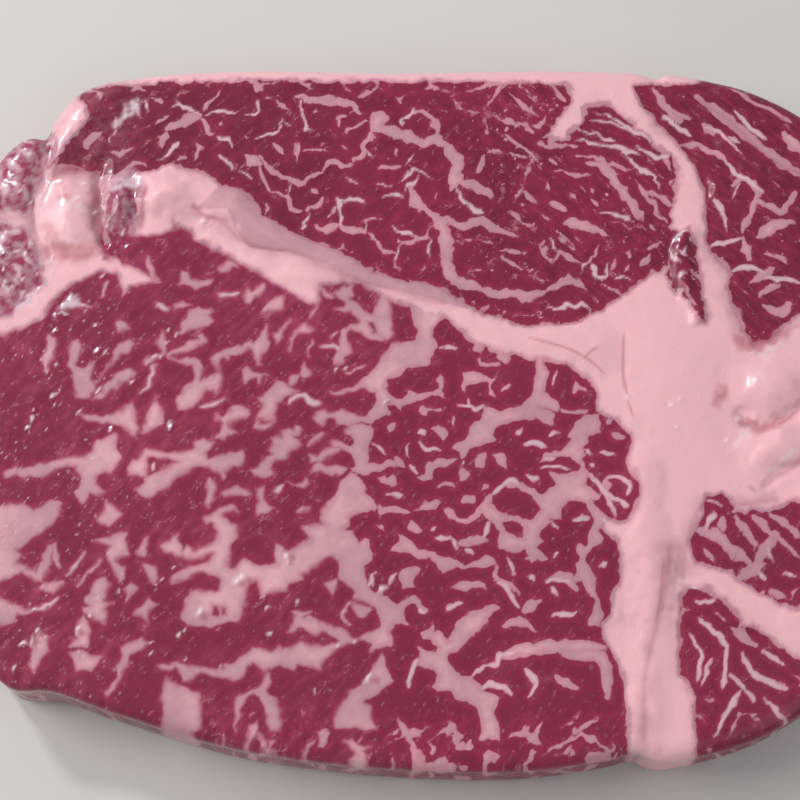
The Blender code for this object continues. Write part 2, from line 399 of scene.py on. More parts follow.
RIDGES = ridges(
    # Seams that stand proud, the rind, the flap and the rolled strips of the end muscle
    """8 1.2: -55,44 -47,42.5 -38,36.5 -28,30.5 -18,27 -8,22.5 4,18.5 16,13 30,11; 6 0.8: 40,-14 40.5,-30
41,-45 39.5,-58 38,-68; 5 0.9: -79,52 -75.5,60 -68,68; 3 1.1: 50.5,36 49.5,28 52.5,18; 3.4 0.7: 60,56 67,48
73.5,44.5 84,38; 3.4 0.7: 58,46 65,42 71,37 84,28"""
    # The seam's fold, and the grooves along the cap muscle and the eye muscle
    """; 1.9 -0.9: -50,40 -45,38.5 -40,34.2 -35,32.3 -30,31.6 -20,27 -8,22.6 1,20.4; 2.2 -0.9: -53,51.6
-45,47 -41,46 -36,40.2 -28,35.2 -20,32 -13,27.5 -2,25 6,20.5 16,16.5 25,16.5 34,20.5 46,29.5;
2.2 -0.6: -51,37 -45,32 -34,25.5 -25,20.5 -10,21 0,18 10,10.5 20,8 30,4 35,-4 38.5,-12 38,-23 35,-33 32.5,-43
33,-51 35.5,-62 35,-71"""
    # Creases at the left end
    """; 2.0 -1.6: -69.8,52 -70,43 -69,34; 1.8 -0.8: -63.5,50 -62,43 -62.5,37; 2.2 -1.3: -81,55 -83,47
-83.5,39 -80,31; 1.9 -1.0: -81,57 -79.5,51 -74,51.5"""
    # Grooves round the end muscle, the lobes, the kernel and the lower muscles
    """; 2.3 -1.1: 43,69 46,61 51,56 54.5,49 55.6,40 56,32 59.5,27 59.5,22 62.5,12.5 70,15 80,19 90,20;
2.0 -0.8: 55,66 60,62 65,57 70,52 82,46; 2.0 -1.6: 60,-3 62,-5.4 68,-4.3 75,0 88,2; 2.0 -1.4: 64,-17.5 68,-15
73,-12.5 84,-13; 1.8 -0.5: 37,14 36.6,6 37.6,0; 2.0 -0.8: 45,-30 43.2,-41 40.5,-50 39,-57 38.5,-68;
4.5 -0.6: 48,-35 58,-40.5 68,-47 82,-54; 2.2 -0.8: 66,-20.5 58,-21.5 52,-21 48.5,-29 47,-39 46,-52 49,-65"""
)


# The muscles

class Region(Enum):
    """The kinds of meat that the cut face shows."""

    EYE = 0
    CAP = 1
    END = 2
    LOWER = 3
    TIPS = 4
    FAT = 5


class Part(Enum):
    """The parts of the skin that aren't a region of their own."""

    INNER_EYE = 9
    NEAR_SIDE = 10
    RIGHT_SIDE = 11
    FAR_SIDE = 12
    LEFT_SIDE = 13
    UNDERSIDE = 20


@dataclass(frozen=True)
class Muscle:
    """One muscle of the cut face: its border, its fat streaks and patches, and the lean islands in these."""

    region: Region
    border: tuple[Point, ...]
    fat: tuple[Vein, ...] = ()
    patches: tuple[tuple[Point, ...], ...] = ()
    islands: tuple[tuple[Point, ...], ...] = ()


EYE_BORDER = points(
    """-100,12 -88,14 -83,16 -80,18 -78,21.5 -76,24 -72,26 -69,28 -65.5,27 -64.2,22 -63,24 -60,24.5 -57,25.5
-60,27.5 -64,29.5 -68.5,31.5 -69.5,34 -69,39 -66,37 -62,35.3 -57.5,35.2 -53,37.5 -51,36.5 -50,34.5 -45,32
-40,29 -34,25.5 -30,23 -26,20.5 -25,20.2 -24,25 -17,24.8 -13,22.5 -10,21 -6,19.5 -2,18.3 0,18 5,13.5 10,10.5
15,9 20,8 26,7 30,4 31.5,1 31.5,-2 35,-4 37.5,-7 38,-9 37,-13 38.5,-17 39.3,-18 38.5,-21.5 37,-24 35,-24.5
32,-23.5 31.5,-26 34.5,-29 35,-33 34.5,-37 33,-40 32.5,-43 31,-46 31,-48 33,-51 34.5,-55 35.2,-60 35.5,-66
34,-80 -40,-80 -100,-66"""
)

EYE_FAT = veins(
    # The main channel under the diagonal seam, and thin streaks left of it
    """3.4: -11,22 -11.6,17 -10.6,13.4; 0.8: -57.6,7.5 -57.9,5.4 -58.4,3.2 -60,1.8; 1.4: -76,-30 -74.6,-34;
0.8: -73,-36 -69.6,-31.4; 0.6: -71,-38 -66.6,-33; 1.6: -78,-38.6 -75.6,-37.2; 0.9: -48,-1.6 -43,0.4;
0.9: -44.9,22.4 -42.5,22.7 -40.8,23; 0.5: -26.5,9.3 -25.3,13.3; 0.4: -25.9,17.2 -25.1,19.7; 1.2: -30,-0.6
-28.6,0.9 -27,0.8 -25.4,-0.8 -24,-0.8; 0.9: -24,11.2 -22.6,11.6 -21.2,11.4 -20,10.6; 0.7: -22.1,13.3
-21.1,14.7; 0.5: -19,5.8 -17.2,6.4 -14.9,7.7; 1.3: -26,-11.4 -24.6,-12.6 -22,-11 -20,-10.6; 1.6: -45.8,-16.8
-45,-19 -46,-21.6; 1.2: -32.6,-19 -31.2,-17.9; 1.3: -27.6,-23 -26.4,-22.5; 0.6: -17.6,-41.5 -19.1,-44.1
-17.6,-45.8; 1: -78.9,-42.4 -76.7,-41.9 -74.3,-40.2; 1.6: -77.5,-38.6 -74,-37.6; 1.2: -57.5,20.2 -55.3,19.6;
0.9: -71.4,20 -74.6,21.4 -77,19.6; 0.7: -67.6,26 -69,22"""
    # Right of the channel, upper part
    """; 1: 0.2,11.5 3.3,11; 0.9: 3.4,-1.3 6,-1.1 7,-2 8.7,-1.6; 0.8: 5.5,0.5 6.1,-1.1; 1.1: -4,-7.2
-2.8,-6.3; 0.9: -3.8,-8.8 -2.6,-9.9 -0.3,-10.4; 0.8: -13.4,-8.9 -10.7,-11.3; 1.3: -14.5,-14.9 -12.4,-13.9
-9.8,-13.4 -8.6,-13.9; 1.3: -8.6,-12 -7.2,-14; 1.1: -5.9,-13.7 -4.7,-15.3; 1.1: 10.2,-19.2 11.8,-18
13.9,-16.5 15.3,-17.4; 0.9: -10.3,-19.4 -7.6,-19.9; 0.7: -6.6,-9 -6.8,-11.4; 1.2: 16.8,-9.4 18.6,-9
20.8,-9.8; 1: 22,-7.6 23.6,-6.4; 0.8: 3,-5.4 2.6,-3.6; 0.6: 12.6,2 14,3.4; 0.9: 15,-7 16.4,-6.2"""
    # Right of the channel, lower part
    """; 1: -1.4,-28.6 1.2,-28.4; 1: 1.6,-28.2 3.2,-30.4; 1.6: 3.4,-29.4 6,-29 9.3,-28.4; 1: 9.3,-25.6
8.7,-28.4; 0.8: -14.3,-38 -12.5,-35.6; 0.9: -10.5,-37.7 -8.8,-35.6; 0.9: 1.2,-42.6 2.6,-41.9 4.2,-41.6;
1.2: -4.4,-42.8 -3.6,-42.9; 0.9: 10.3,-37 12.6,-38.2 14.4,-41 15,-42; 1.1: 13,-32 14.2,-35.6; 1: 5,-30.6
6.4,-31.4; 0.7: -2,-26.8 -0.8,-26.2; 1.2: 7.5,-58.2 9.6,-57.4 12,-58 13.6,-59.6; 0.9: 6.2,-56 7.9,-53.6;
1: 7.9,-53.6 10.4,-53.4 11.6,-51 14,-51.2"""
    # Right edge of the eye
    """; 1.1: 29.4,-15.5 32.5,-18.5 34.6,-20.6 37,-22; 1: 32.6,-19 34.2,-23.6; 0.9: 33.3,-16 35.7,-16
37.7,-17.8 36.7,-19.8; 1.6: 33.3,-16.2 32.8,-18.4; 1.3: 33.4,-3.9 34,-4.8; 1.4: 34.4,-7.3 36.4,-7.8;
0.8: 31.5,-11.1 33,-11 34.6,-11.8; 1.1: 29.6,-13.2 30.4,-13.8; 1: 28.6,-10.4 29.9,-11; 1.2: 26.6,-24.3
28.8,-24.3; 1: 21.5,-24.6 22.8,-26.4; 1.2: 31,-33.9 32.4,-33.2; 0.8: 21.8,-32.2 23,-31.2; 1: 20.6,-36.9
23,-36.9 25.3,-37.4; 1.2: 17.4,-35.4 18.2,-37; 1: 21.7,-38.4 22.4,-39.8; 1: 17.2,-15.4 18.6,-16.4 19.4,-16;
0.8: 20.4,-12.2 23,-11.6; 0.8: 20,-14.4 22,-13.6 26,-14.2; 0.7: 22.8,3.4 23.2,6"""
    # Along the lower edge, right of the channel
    """; 2.6: 12,-51.4 20,-50 31,-50; 2.4: 24,-51.4 31,-52.4 32,-60; 2.2: 16,-43 19,-41; 2: 22,-56 26,-58;
1.6: 21,-37 24,-36 26,-38.6; 1.4: -8.6,-42.4 -5.4,-41 -3,-42.6; 1.2: -6.4,-58 -5.8,-54.6 -4.4,-52.4;
1.4: 12,-46 15,-45 18,-46.6; 1.2: 22,-44 26,-43; 1: 16,-54 18,-57 17,-60"""
)

EYE_PATCHES = areas(
    # Left end, upper part
    """-79,14.5 -77.5,13 -78,9 -79.5,6.5 -80,9; -75,10.6 -74.4,7.4 -73.6,4.4 -73,2 -72.8,0.6 -70.2,0.6
-69.4,2.2 -69.8,4.8 -70,7.8 -71.6,7 -73.1,7.4 -72.7,9.6 -72.2,11.8 -73.6,12.6; -69.5,4 -68,5 -66,8 -64.8,12
-62.8,13.4 -61.6,11.8 -62.6,10.4 -64.3,9.6 -66.8,6.6 -68.8,4.2; -69.6,0.3 -67.4,2.6 -64.6,5.8 -62.4,6.8
-61.3,6 -61.8,5 -64.2,3.7 -66,2 -67.8,0.4; -71.6,-2.6 -70.5,-4.6 -68.5,-4.4 -66.4,-4.9 -64.3,-5.1 -62.9,-5.8
-61.5,-7.1 -60.6,-7.6 -60.2,-5.6 -60.7,-3.1 -61.5,-0.6 -62.5,-0.9 -64,-2.2 -65.4,-3.1 -68.5,-3.3; -56.8,0.2
-55.4,-2.8 -55,-4.8 -56.7,-5.7 -58.3,-6.4 -59.6,-6.7 -59.3,-5 -58.6,-3 -57.7,-0.9; -59.6,8 -58.6,9.2 -57,9.6
-56,10.4 -57,12.6 -56.4,15 -55.6,12.6 -55.2,9.8 -57,8.8 -59,7.6; -54.3,20.3 -52,21.3 -50.2,20.6 -52,19.8
-54,19.6; -65.3,16.8 -64,16.8 -62.9,15.3 -65,14.4"""
    # Left end, lower part
    """; -68.3,-8.4 -66.2,-7.7 -64.8,-6.8 -64.2,-7.2 -64.4,-10 -63.4,-11.8 -63.8,-13.2 -65,-15 -66.8,-15
-68.4,-15.4 -68,-17.2 -66.5,-18.9 -67.6,-20 -69,-19.2 -70.3,-21.4 -71.2,-21 -72,-18.8 -70.8,-17.4 -71.4,-15.2
-72.2,-13.8 -74.4,-13.6 -77,-15 -79.4,-16 -82,-15.4 -86,-16 -86.4,-14.6 -82,-13.8 -78,-13 -74,-11.8
-70.8,-11.6 -69.4,-10.4; -90,-22 -87,-22 -84,-21.6 -80,-22.6 -77.6,-21.4 -76.2,-20.6 -74.6,-21.4 -75,-24
-77,-25.8 -79,-27.4 -82,-29.8 -83.4,-30.6 -81.2,-32.2 -81,-34 -80,-35 -79,-35.4 -78.2,-33 -77,-29.8 -76,-30
-76.6,-33.6 -77.6,-37 -79.6,-36.6 -81.6,-35 -84,-36.4 -90,-38; -66,-20.6 -64.9,-21.5 -63.2,-22.8 -62.8,-23.5
-64.3,-24.6 -64.9,-25.7 -66.8,-25.5 -67.7,-24.9 -66.5,-23.5 -66.3,-22; -67.6,-28.8 -65,-28.2 -63,-27.6
-61.8,-27.2 -62.2,-29.2 -61,-31.4 -62.8,-32.4 -63.6,-33 -62,-34.4 -61.8,-36.4 -62.8,-37.4 -63.4,-35.4
-64.6,-33.6 -65.4,-31.6 -64.8,-29.8 -66.2,-29.6; -58,-28.6 -57.2,-28.2 -57.4,-30 -57.8,-32.2 -58.6,-32.2
-59.6,-31.4 -58.6,-29.8; -55,-30 -54.2,-29.4 -52.6,-28.8 -51.2,-27.6 -51,-29.8 -50.6,-31 -49.6,-30 -48,-31
-46.6,-30.8 -47.8,-32.2 -50,-32.4 -51.2,-32 -52.6,-31.8 -54,-31; -58.6,-33.6 -57,-33.6 -55.6,-34.4 -55,-35.8
-56,-37.4 -57,-36"""
    # Along the lower edge of the left end
    """; -65.8,-36.2 -64.9,-37.7 -65,-38.5 -65.6,-40.9 -64.6,-41.9 -65,-42.7 -64.7,-44.1 -65.2,-45.4
-66.5,-44.9 -68.2,-44.3 -69.6,-43 -69.7,-42.1 -68.2,-41.6 -69,-41 -68.5,-38.5 -67.2,-37.1; -69.8,-44.1
-68.6,-45.4 -68,-46.8 -68,-48.2 -68.1,-49.9 -71.8,-49.7 -71.3,-48.8 -70.5,-47.6 -70.8,-46.5 -70.2,-44.9;
-71.8,-51.2 -70.1,-50.5 -67.9,-51.4 -65.1,-52.1 -66.1,-53.2 -67.8,-54.7 -69.4,-54.3 -70.5,-54.8 -71.1,-53.5;
-90,-39.6 -85.3,-40.3 -83.1,-41.3 -80.3,-42.3 -78.7,-42.4 -79.2,-43.1 -81.9,-43.5 -83,-45.2 -85.2,-45.7
-90,-46; -77.6,-47.1 -76.2,-48.2 -76.2,-50.1 -77.2,-52.9 -79,-55.1 -79.5,-53.5 -79.2,-50.7 -80,-49.3;
-56.7,-40.9 -55.6,-41.9 -56.6,-43.2 -57.1,-45.4 -58,-44.1 -59.4,-43.5 -58.8,-42.4; -60,-37.2 -58.9,-38.5
-59.7,-39.6 -61.3,-41 -61.1,-39.4 -62,-39; -62,-49.9 -59.2,-48.8 -57.8,-48.2 -56.6,-49.6 -58,-50.7 -60,-51.8
-60.9,-54 -62.9,-57.9 -64.4,-59.4 -64.6,-58.6 -62.6,-56.2 -61.6,-52.4; -54.8,-53.5 -54.2,-54.6 -50.9,-54.3
-49.8,-56.2 -48.1,-56.2 -46.6,-55.4 -45,-55.6 -42.6,-55.9 -40,-56.5 -38.4,-55.9 -37.3,-54.3 -36.2,-52.9
-35,-53.7 -34,-54.6 -33.1,-54.3 -31.2,-53.7 -29.8,-54.4 -28.5,-54.8 -27.9,-53.7 -25.7,-53.6 -23.3,-54.3
-23.2,-53.6 -20.3,-50.7 -17.8,-48.8 -15.7,-48.5 -14.3,-48.8 -13.5,-49.9 -13.8,-51 -11.6,-50.4 -10.5,-49.6
-9.7,-49.9 -9.4,-48.5 -9.8,-47.4 -9.3,-46 -7.6,-45.2 -5.7,-46 -7.4,-44 -7.6,-42.4 -9,-41.3 -11.5,-40.2
-11,-38.8 -12.9,-39.2 -14.1,-38.3 -14.8,-35.8 -17,-35 -19.4,-36.4 -18.9,-37.2 -17.8,-38 -16.4,-39.6 -16.7,-41
-15.5,-41 -13.8,-41.6 -12.4,-42.7 -12,-43.8 -11.6,-44.9 -12.1,-46.3 -13.5,-47.4 -14.6,-47.5 -15.7,-48.1
-17,-48.1 -19,-46.8 -20.6,-46.3 -22.8,-44.9 -24.5,-44.6 -23.1,-46 -22,-47.4 -19.9,-48.8 -20.3,-49.6 -22,-49.9
-24.7,-49.6 -27.4,-49.2 -28,-49.6 -29.7,-50.5 -31.3,-50.4 -33.2,-51.2 -34.9,-50.4 -36.3,-50.1 -37.4,-51
-38.8,-52.3 -41,-53.5 -42.6,-54.1 -45,-54.4 -46.7,-54.3 -49.5,-53.5 -53.6,-53.2; -11.3,-51.5 -12.6,-53.7
-13.5,-55.1 -15,-56.8 -17.7,-58.7 -18.3,-59.8 -19.6,-61.2 -20.6,-66 -13,-66 -13.9,-62.3 -14.7,-60.6 -12.2,-59
-10.1,-57.3 -9.6,-56.5 -10.4,-54.6; -28.5,-43 -25.2,-43.2 -26.8,-44 -24.1,-44.6 -22.2,-46.5 -24.1,-47.4
-27.7,-46.3 -29.6,-47.2 -28.8,-44.9 -28,-44; -53.2,-56.8 -49.6,-57.4 -46.4,-59.3 -46.2,-66 -53.3,-66
-53.5,-58.7; -33.7,-54.6 -33.1,-56.8 -33.4,-58.4 -31.7,-60.6 -30.6,-66 -32.8,-66 -34.7,-59.5 -36.9,-59.3
-38.4,-62.3 -39.6,-66 -39.3,-60.6 -36.9,-58.7 -34.5,-57.3; -17.6,-41.5 -14.2,-42.1 -13.4,-42.8 -14.9,-44
-16,-44.3 -17.1,-42.6; -22.8,-37.4 -21.3,-37.2 -20.1,-36.7 -20.4,-38 -21.4,-39.7 -22.3,-38.7"""
    # The upper left
    """; -55,9.4 -52.4,8.4 -50.8,9.1 -48.2,8.7 -47.9,7.3 -47.7,6 -48.2,4.5 -48.3,3.8 -46.9,4.6 -46,5.4
-44.1,5.9 -43.5,4.6 -44.1,3.3 -44.8,1.4 -45.3,2.4 -46.1,1.9 -46.8,2.2 -47.3,1 -48.3,0 -49.6,-1.3 -51.4,-2.1
-52.3,-2.2 -52.4,0.8 -50.9,2.5 -49.8,4.5 -49.2,5.5 -49.7,7.3 -51.2,7.9 -54.5,8.8; -55,9.9 -52.5,11 -50,12.4
-48,13 -47.4,12.2 -49.6,10.8 -52,10.2 -54.4,9.6; -45.9,9.3 -45.5,9.9 -43.8,10.6 -42.5,11.4 -40.9,11.7
-39.9,11.1 -39.1,12.3 -38.2,13 -37.5,12 -36.3,13.4 -35.4,14.9 -34.7,16.2 -34.6,13.4 -34.5,12 -35.1,10.6
-35.8,9.3 -36.3,8 -35.8,7.2 -36.8,7.1 -37,9 -37.7,10.5 -38.6,11.4 -39.7,10 -41.2,9.4 -42.4,9.4 -42.6,8
-43.5,9.1 -44.3,7.9 -44.6,6.1 -44.9,7.3; -39.5,6.3 -38.5,6.8 -37.7,6.3 -36.6,5.6 -34.1,5.3 -35.6,5.1
-35.9,3.3 -36.3,3.3 -36.7,4.9 -38.7,4.6 -39.1,3 -39.4,3.3; -44.6,-3.1 -43.4,-3.8 -42,-2.7 -41,-1.3 -39.6,-1.1
-38.4,-2 -38.2,-3.1 -39.5,-3.5 -40.6,-4.2 -41.9,-4.9 -42.6,-5.2 -41,-6.7 -42.8,-8.3 -44.4,-7.8 -43.7,-6.5
-43.3,-5.4 -44.1,-4.2; -45.3,28.5 -44.2,29.7 -42.9,30.1 -41.3,29.2 -40.8,28.5 -42.4,28.6 -43.7,28 -44.8,27.8;
-52.8,24.9 -52.3,27.5 -51.3,27.7 -50.9,26.5 -49.4,25.9 -47.3,26.5 -46.4,26.1 -47.1,25.1 -48.6,24.5 -49.7,24.2
-51.3,24.8; -39.2,24 -38.3,23.3 -37.1,24.4 -36,25.1 -35.8,24 -36.4,22.6 -37.4,21.6 -38.7,20.8 -39.8,21.3
-39.6,22.5; -35.7,18.6 -35.1,20 -34.4,21.4 -33.1,22.7 -32,22.5 -31.5,21.6 -31.8,20.4 -32.6,19.3 -33.5,18.8;
-52.8,14 -52,16 -51,17.8 -50.1,19.4 -48.8,19.8 -47.1,19.3 -45.7,19.2 -47.1,18.1 -45.8,16.7 -47.5,15.9
-49.3,15.6 -50.9,15.2 -52,14.2; -48.9,13.6 -48,14 -47.3,13.2 -47.2,12.2 -48,12.1; -33.4,14.7 -32.5,14.9
-30.1,17.2 -31.4,15.4 -31.7,13.9 -32.2,12.7 -32.9,12.1 -33.3,12.8; -30.4,10.5 -30.4,13.2 -29.5,14.4
-28.3,15.8 -26.8,16.4 -25.9,14.9 -26.5,14.5 -27.9,14.3 -29,14.4 -29.8,13.2 -30.2,10.5; -28.1,5.4 -27.8,6.7
-27.4,8.3 -27,7.1 -26.1,6.3 -25.8,5.3 -26.7,4.7 -27.7,5; -30.1,5 -28.2,5.4 -28.8,4.2 -29.5,2.9 -30.1,3.4;
-59.6,31.6 -58.2,28.6 -57.4,25.6 -58.6,26.6 -60.2,30"""
    # The middle, left of the channel
    """; -36.9,0.3 -35.6,0.7 -34.6,1.9 -33.5,3.1 -32.5,3.8 -31.5,3.4 -30.2,2.9 -28.5,2.3 -29.4,1.5 -30.5,0.9
-31.5,0.5 -32.6,-0.6 -32.8,-2 -33.2,-3.6 -33.8,-5.5 -35,-6.2 -36.2,-5.8 -37,-5.5 -36.7,-4.3 -36.4,-2.4
-35.5,-0.5 -36.5,-0.1; -31.3,-6.8 -30.1,-5.9 -29.3,-6.5 -28.8,-5.2 -27.8,-5.4 -27.5,-6.3 -28,-7.3 -29.1,-7.6
-28.7,-8.3 -27.8,-9.2 -28.8,-9.8 -30.1,-10.6 -30.4,-12.6 -32.5,-12.6 -33.7,-13.2 -33.7,-14.3 -33.3,-15.6
-34.1,-16.2 -35.3,-16.7 -36.4,-15.9 -37.4,-14.7 -35.9,-14 -35.4,-13 -34.9,-11.9 -34.1,-11.5 -32.8,-11.4
-33.5,-10.3 -32.6,-9.2 -33,-8.2 -32.4,-7.7 -31.6,-7.7; -26.3,-9.3 -24.7,-7.3 -23.7,-6.7 -22.9,-7 -23.7,-8
-25,-8.9 -25.9,-9.5; -24.3,24.7 -23.5,24.1 -22.6,23 -21.4,21.7 -22,21.4 -23.5,22.4 -24.4,23.5; -21.4,23
-20.1,23.6 -19.3,24.4 -18.5,24.1 -17.4,24.8 -17.6,23.5 -17.4,22.5 -18.5,21.8 -16.9,20.8 -15.1,19.4 -13.5,18.6
-11,19.3 -11,16.5 -14.9,16.6 -13.6,14.7 -11,13.2 -11,12.3 -14.1,13.1 -16.3,14.5 -18,15.2 -18.7,13.9
-18.4,11.7 -17.9,10.2 -18.7,9.3 -20.3,7.4 -21.2,7.4 -20.9,9.5 -20.3,10.6 -19.9,13.4 -20,14.7 -17.9,16
-16.4,16.4 -16.2,17.8 -17.4,18.6 -19.5,18.9 -21.1,19.4 -19.5,20 -19,20.8 -20.6,21.9; -11,7.4 -13.5,5.5
-15.1,4.2 -16.6,3 -18.7,2.2 -20.5,1.9 -22.3,2.3 -21.9,1.9 -20.5,1.1 -18.7,1.4 -16.6,1.9 -15.4,2.6 -13.4,2.4
-12.5,1.1 -11,0.9; -25,-4 -24.8,-2.9 -23.5,-2.2 -22,-2.6 -19.9,-2.2 -17.9,-2.4 -16.1,-3.2 -14.4,-3.4
-13.9,-2.4 -13,-1 -11.4,-0.5 -11.4,-3.3 -13.5,-4.6 -13.6,-5.1 -15,-4.5 -16.1,-5.1 -17.9,-5.6 -20.3,-5.3
-21.2,-3.7 -22.2,-3.7 -23.5,-5.1 -24.4,-4.8; -18.9,-6.8 -17.5,-5.5 -14,-5.2 -13.4,-6.4 -13.9,-8.4 -14.4,-10.3
-14.4,-13.2 -12,-13.1 -11.9,-14 -13.5,-15.6 -15,-15.8 -16.7,-15.5 -17.8,-14.6 -16.9,-14 -16.9,-11.9
-17.8,-10.8 -19.9,-10.5 -21.4,-9.6 -21.2,-8.4 -20,-8.8 -18.8,-9.5 -17.8,-9.4 -17.3,-7.9 -17.8,-7.1;
-25.3,-14.9 -23.9,-13.1 -23.1,-13.8 -21.6,-13.5 -19.8,-13.6 -18.5,-14.2 -18.4,-14.9 -19.6,-15.3 -21.1,-15.2
-21.5,-16 -22.1,-15.1 -23.6,-15"""
    # The band across the middle and the small patches under it
    """; -62.1,-14.2 -61.4,-13 -59.6,-11.4 -58.3,-9.9 -55.6,-10.4 -54.5,-11.2 -51.8,-10.8 -50.1,-10.3
-48.7,-9.9 -48.6,-8.7 -47.1,-7.8 -45,-8.9 -45.5,-10.1 -46.9,-10.6 -46.2,-12.1 -43.2,-11.5 -39,-10.6
-39.2,-13.9 -41.4,-13.9 -42.5,-14.7 -43,-16.2 -43.8,-15 -46.1,-14 -48.2,-13.9 -51.2,-15.4 -52.9,-16.8
-54.5,-18.5 -56.9,-19.6 -57.9,-20.2 -59.1,-19.8 -59.7,-18.7 -58.7,-17.1 -58.4,-15.5 -60.9,-15.6 -61.8,-15.3;
-43,-19.3 -42.4,-18.7 -40.3,-18.1 -38.8,-18.4 -37.6,-19.3 -38.3,-19.7 -40,-19.3 -42.1,-19.7; -36.5,-18.2
-34.8,-18.3 -35,-19 -35.2,-20.2 -34,-21.6 -32.8,-22.4 -34.2,-23.4 -35.3,-23.5 -36.2,-24.3 -36.4,-22.2
-35.8,-21.1 -36.2,-19.3; -30.4,-17.2 -28.5,-17.7 -27.5,-17 -26.8,-16.1 -26,-17.3 -26.5,-18.2 -27.9,-18"""
    # The large wedge and what branches from it to the left
    """; -17.3,-15.7 -19.5,-16.9 -20.2,-18 -21,-20 -21.3,-21.1 -23,-22.7 -23.4,-24.8 -22.7,-25.8 -24.5,-25.7
-27,-26.2 -26.8,-27.1 -26,-28.2 -26.5,-28.9 -27.8,-29.7 -29,-30.8 -30.3,-31.1 -30.8,-30 -32,-29.7 -32.2,-31
-32.6,-33.6 -33.7,-34.3 -35.5,-33.9 -37,-33.1 -38.1,-32.6 -39.7,-34.4 -41,-34.4 -41.7,-33.6 -41.7,-32.3
-41.2,-30.5 -40,-27.9 -40,-26.1 -41.5,-25.6 -42.4,-24.5 -43,-23.8 -41.7,-23.5 -40,-23.2 -40.5,-22.4
-41.2,-22.1 -42.8,-22.5 -44.8,-23.2 -46.3,-24.8 -46.1,-25.6 -44.6,-25.6 -43.8,-27.6 -43.5,-28.7 -45,-30
-47.3,-30.7 -48.6,-31.8 -50.4,-31 -51,-31.8 -49.6,-33 -46.2,-31.8 -44.6,-31.8 -44.9,-32.6 -47.3,-33.9
-49.6,-34.4 -52.6,-36.4 -53,-37.6 -51.4,-37 -49.2,-36.6 -47.6,-35.5 -43.6,-36 -42.9,-36.7 -43.3,-38.8
-45,-39.2 -47.3,-39 -48.5,-39.2 -49.5,-40.5 -49.8,-42 -50.4,-44.6 -48,-46 -44,-46 -40,-45 -38.4,-43 -38.2,-41
-37.9,-39 -37,-37.4 -35.3,-37 -35,-38.6 -35,-39.8 -32.4,-39 -31,-39.3 -30.1,-39 -29.8,-37.4 -26.8,-37
-27.1,-35.4 -25.8,-35.2 -24.3,-33.9 -23.3,-32.8 -21.1,-32.5 -19.7,-32.7 -19.8,-36.2 -19.6,-36.9 -18.4,-37.2
-14.9,-36.2 -14.9,-33.9 -14.1,-33.6 -13.1,-31.8 -13.9,-30.5 -13.9,-28.4 -14.9,-28.1 -15.7,-29.4 -17,-28.1
-17.2,-26.8 -19.2,-26.8 -18.5,-25.8 -17.5,-24.2 -16,-23.4 -14.7,-23.2 -13.2,-22.9 -13,-22.1 -13.5,-20.3
-15,-18.2 -16.5,-15.9"""
    # The channel under the diagonal seam, and what lies right of it
    """; -1.2,14.8 -1.1,13.7 -0.3,12 -1.2,11.1 -1.9,8.8 -2.1,7.5 -3.8,7.3 -6.8,6.9 -8.2,5.1 -10.3,3.8
-10.8,2.7 -10.3,1.3 -9.2,0.4 -7.9,0.2 -6.1,1.3 -6.6,2 -4.7,1.5 -3,1.5 -1.6,1.8 -0.4,2.4 -0.6,4.2 0.1,5.3
0.5,4.2 0.2,2 1.2,0.2 -0.4,0.9 -2,1.1 -4,-0.2 -6.1,-0.9 -7.5,-0.9 -7.8,-2 -8.9,-1.1 -10.5,-1.3 -10.3,-3.4
-12.4,-3.6 -14,-4.1 -13,-1 -12.6,0.4 -13.1,1.6 -15.8,3.8 -13.7,6 -12.3,7.8 -11,9.7 -9.9,11.9 -4.5,13
-4.7,14.8 -5.5,18 -6,22 1.5,20 0.5,17; -4.4,-1.3 -3.9,-2.7 -3,-2.7 -2.3,-1.8 0.1,-2.5 0.3,-1.8 -2,-1.4
-3.4,-0.9; -0.3,-4.9 1.1,-5.4 1.4,-6.3 0.4,-8.5 -0.6,-7 -1.5,-6.1; 5.4,-7 6.1,-4.9 6.6,-4.2 8,-4.3 8.6,-3.1
8.7,-2 10.1,-1.8 12.2,-2.2 14,-2.1 16.5,-1.2 17.6,0.2 18.2,0.9 19,2.7 19.1,5.3 19.5,7.5 19.4,9.4 21,9.6
21.1,7.5 21.8,5.7 21.5,3.5 21.1,1.3 21.8,0.9 23.2,-0.2 24.2,-1.3 23.4,-2.6 21.4,-2 19.7,-1.8 22.4,-2.9
22.4,-4.2 22.7,-5.4 20.7,-4.2 19,-3.6 17,-3.8 14.6,-4.5 12.2,-4.9 10.5,-6 10.3,-7.4 11,-8.5 10.1,-8.8 7,-9.6
5.8,-10.3 4.9,-12 4,-12.4 3.9,-10.6 2.1,-10.3 3.5,-8.7 4.6,-8.5; 4.6,6.2 7.1,6 8.9,5.3 10.2,4.2 10.9,4.2
10.4,2 11.2,0.9 10,1.1 10,3.5 8.5,3.8 6.8,3.5 5.5,3.1 4.8,1.8 4.5,2.4 4.8,4.2; 8,9.3 8.6,8.1 12,7.9 12.4,7.2
8.5,7.1 7.5,8.8; 11.6,9.3 12.7,10.4 14,10 14.5,8.6 13.3,7.8; 6.9,10.8 7.4,12 8.7,12.2 8.7,10.4 8.1,9.7;
-10.3,-5 -9,-4.8 -8.9,-6.6 -9.8,-6.8; 27.1,4.2 28.2,3.2 29.6,2.6 29.6,1.8 28,2.4 27,1.6 26.6,2; 24,-1.4
26,-1.9 29.4,-1.9 29.4,-2.5 26.6,-2.7 24.2,-2.4"""
    # Right of the large wedge
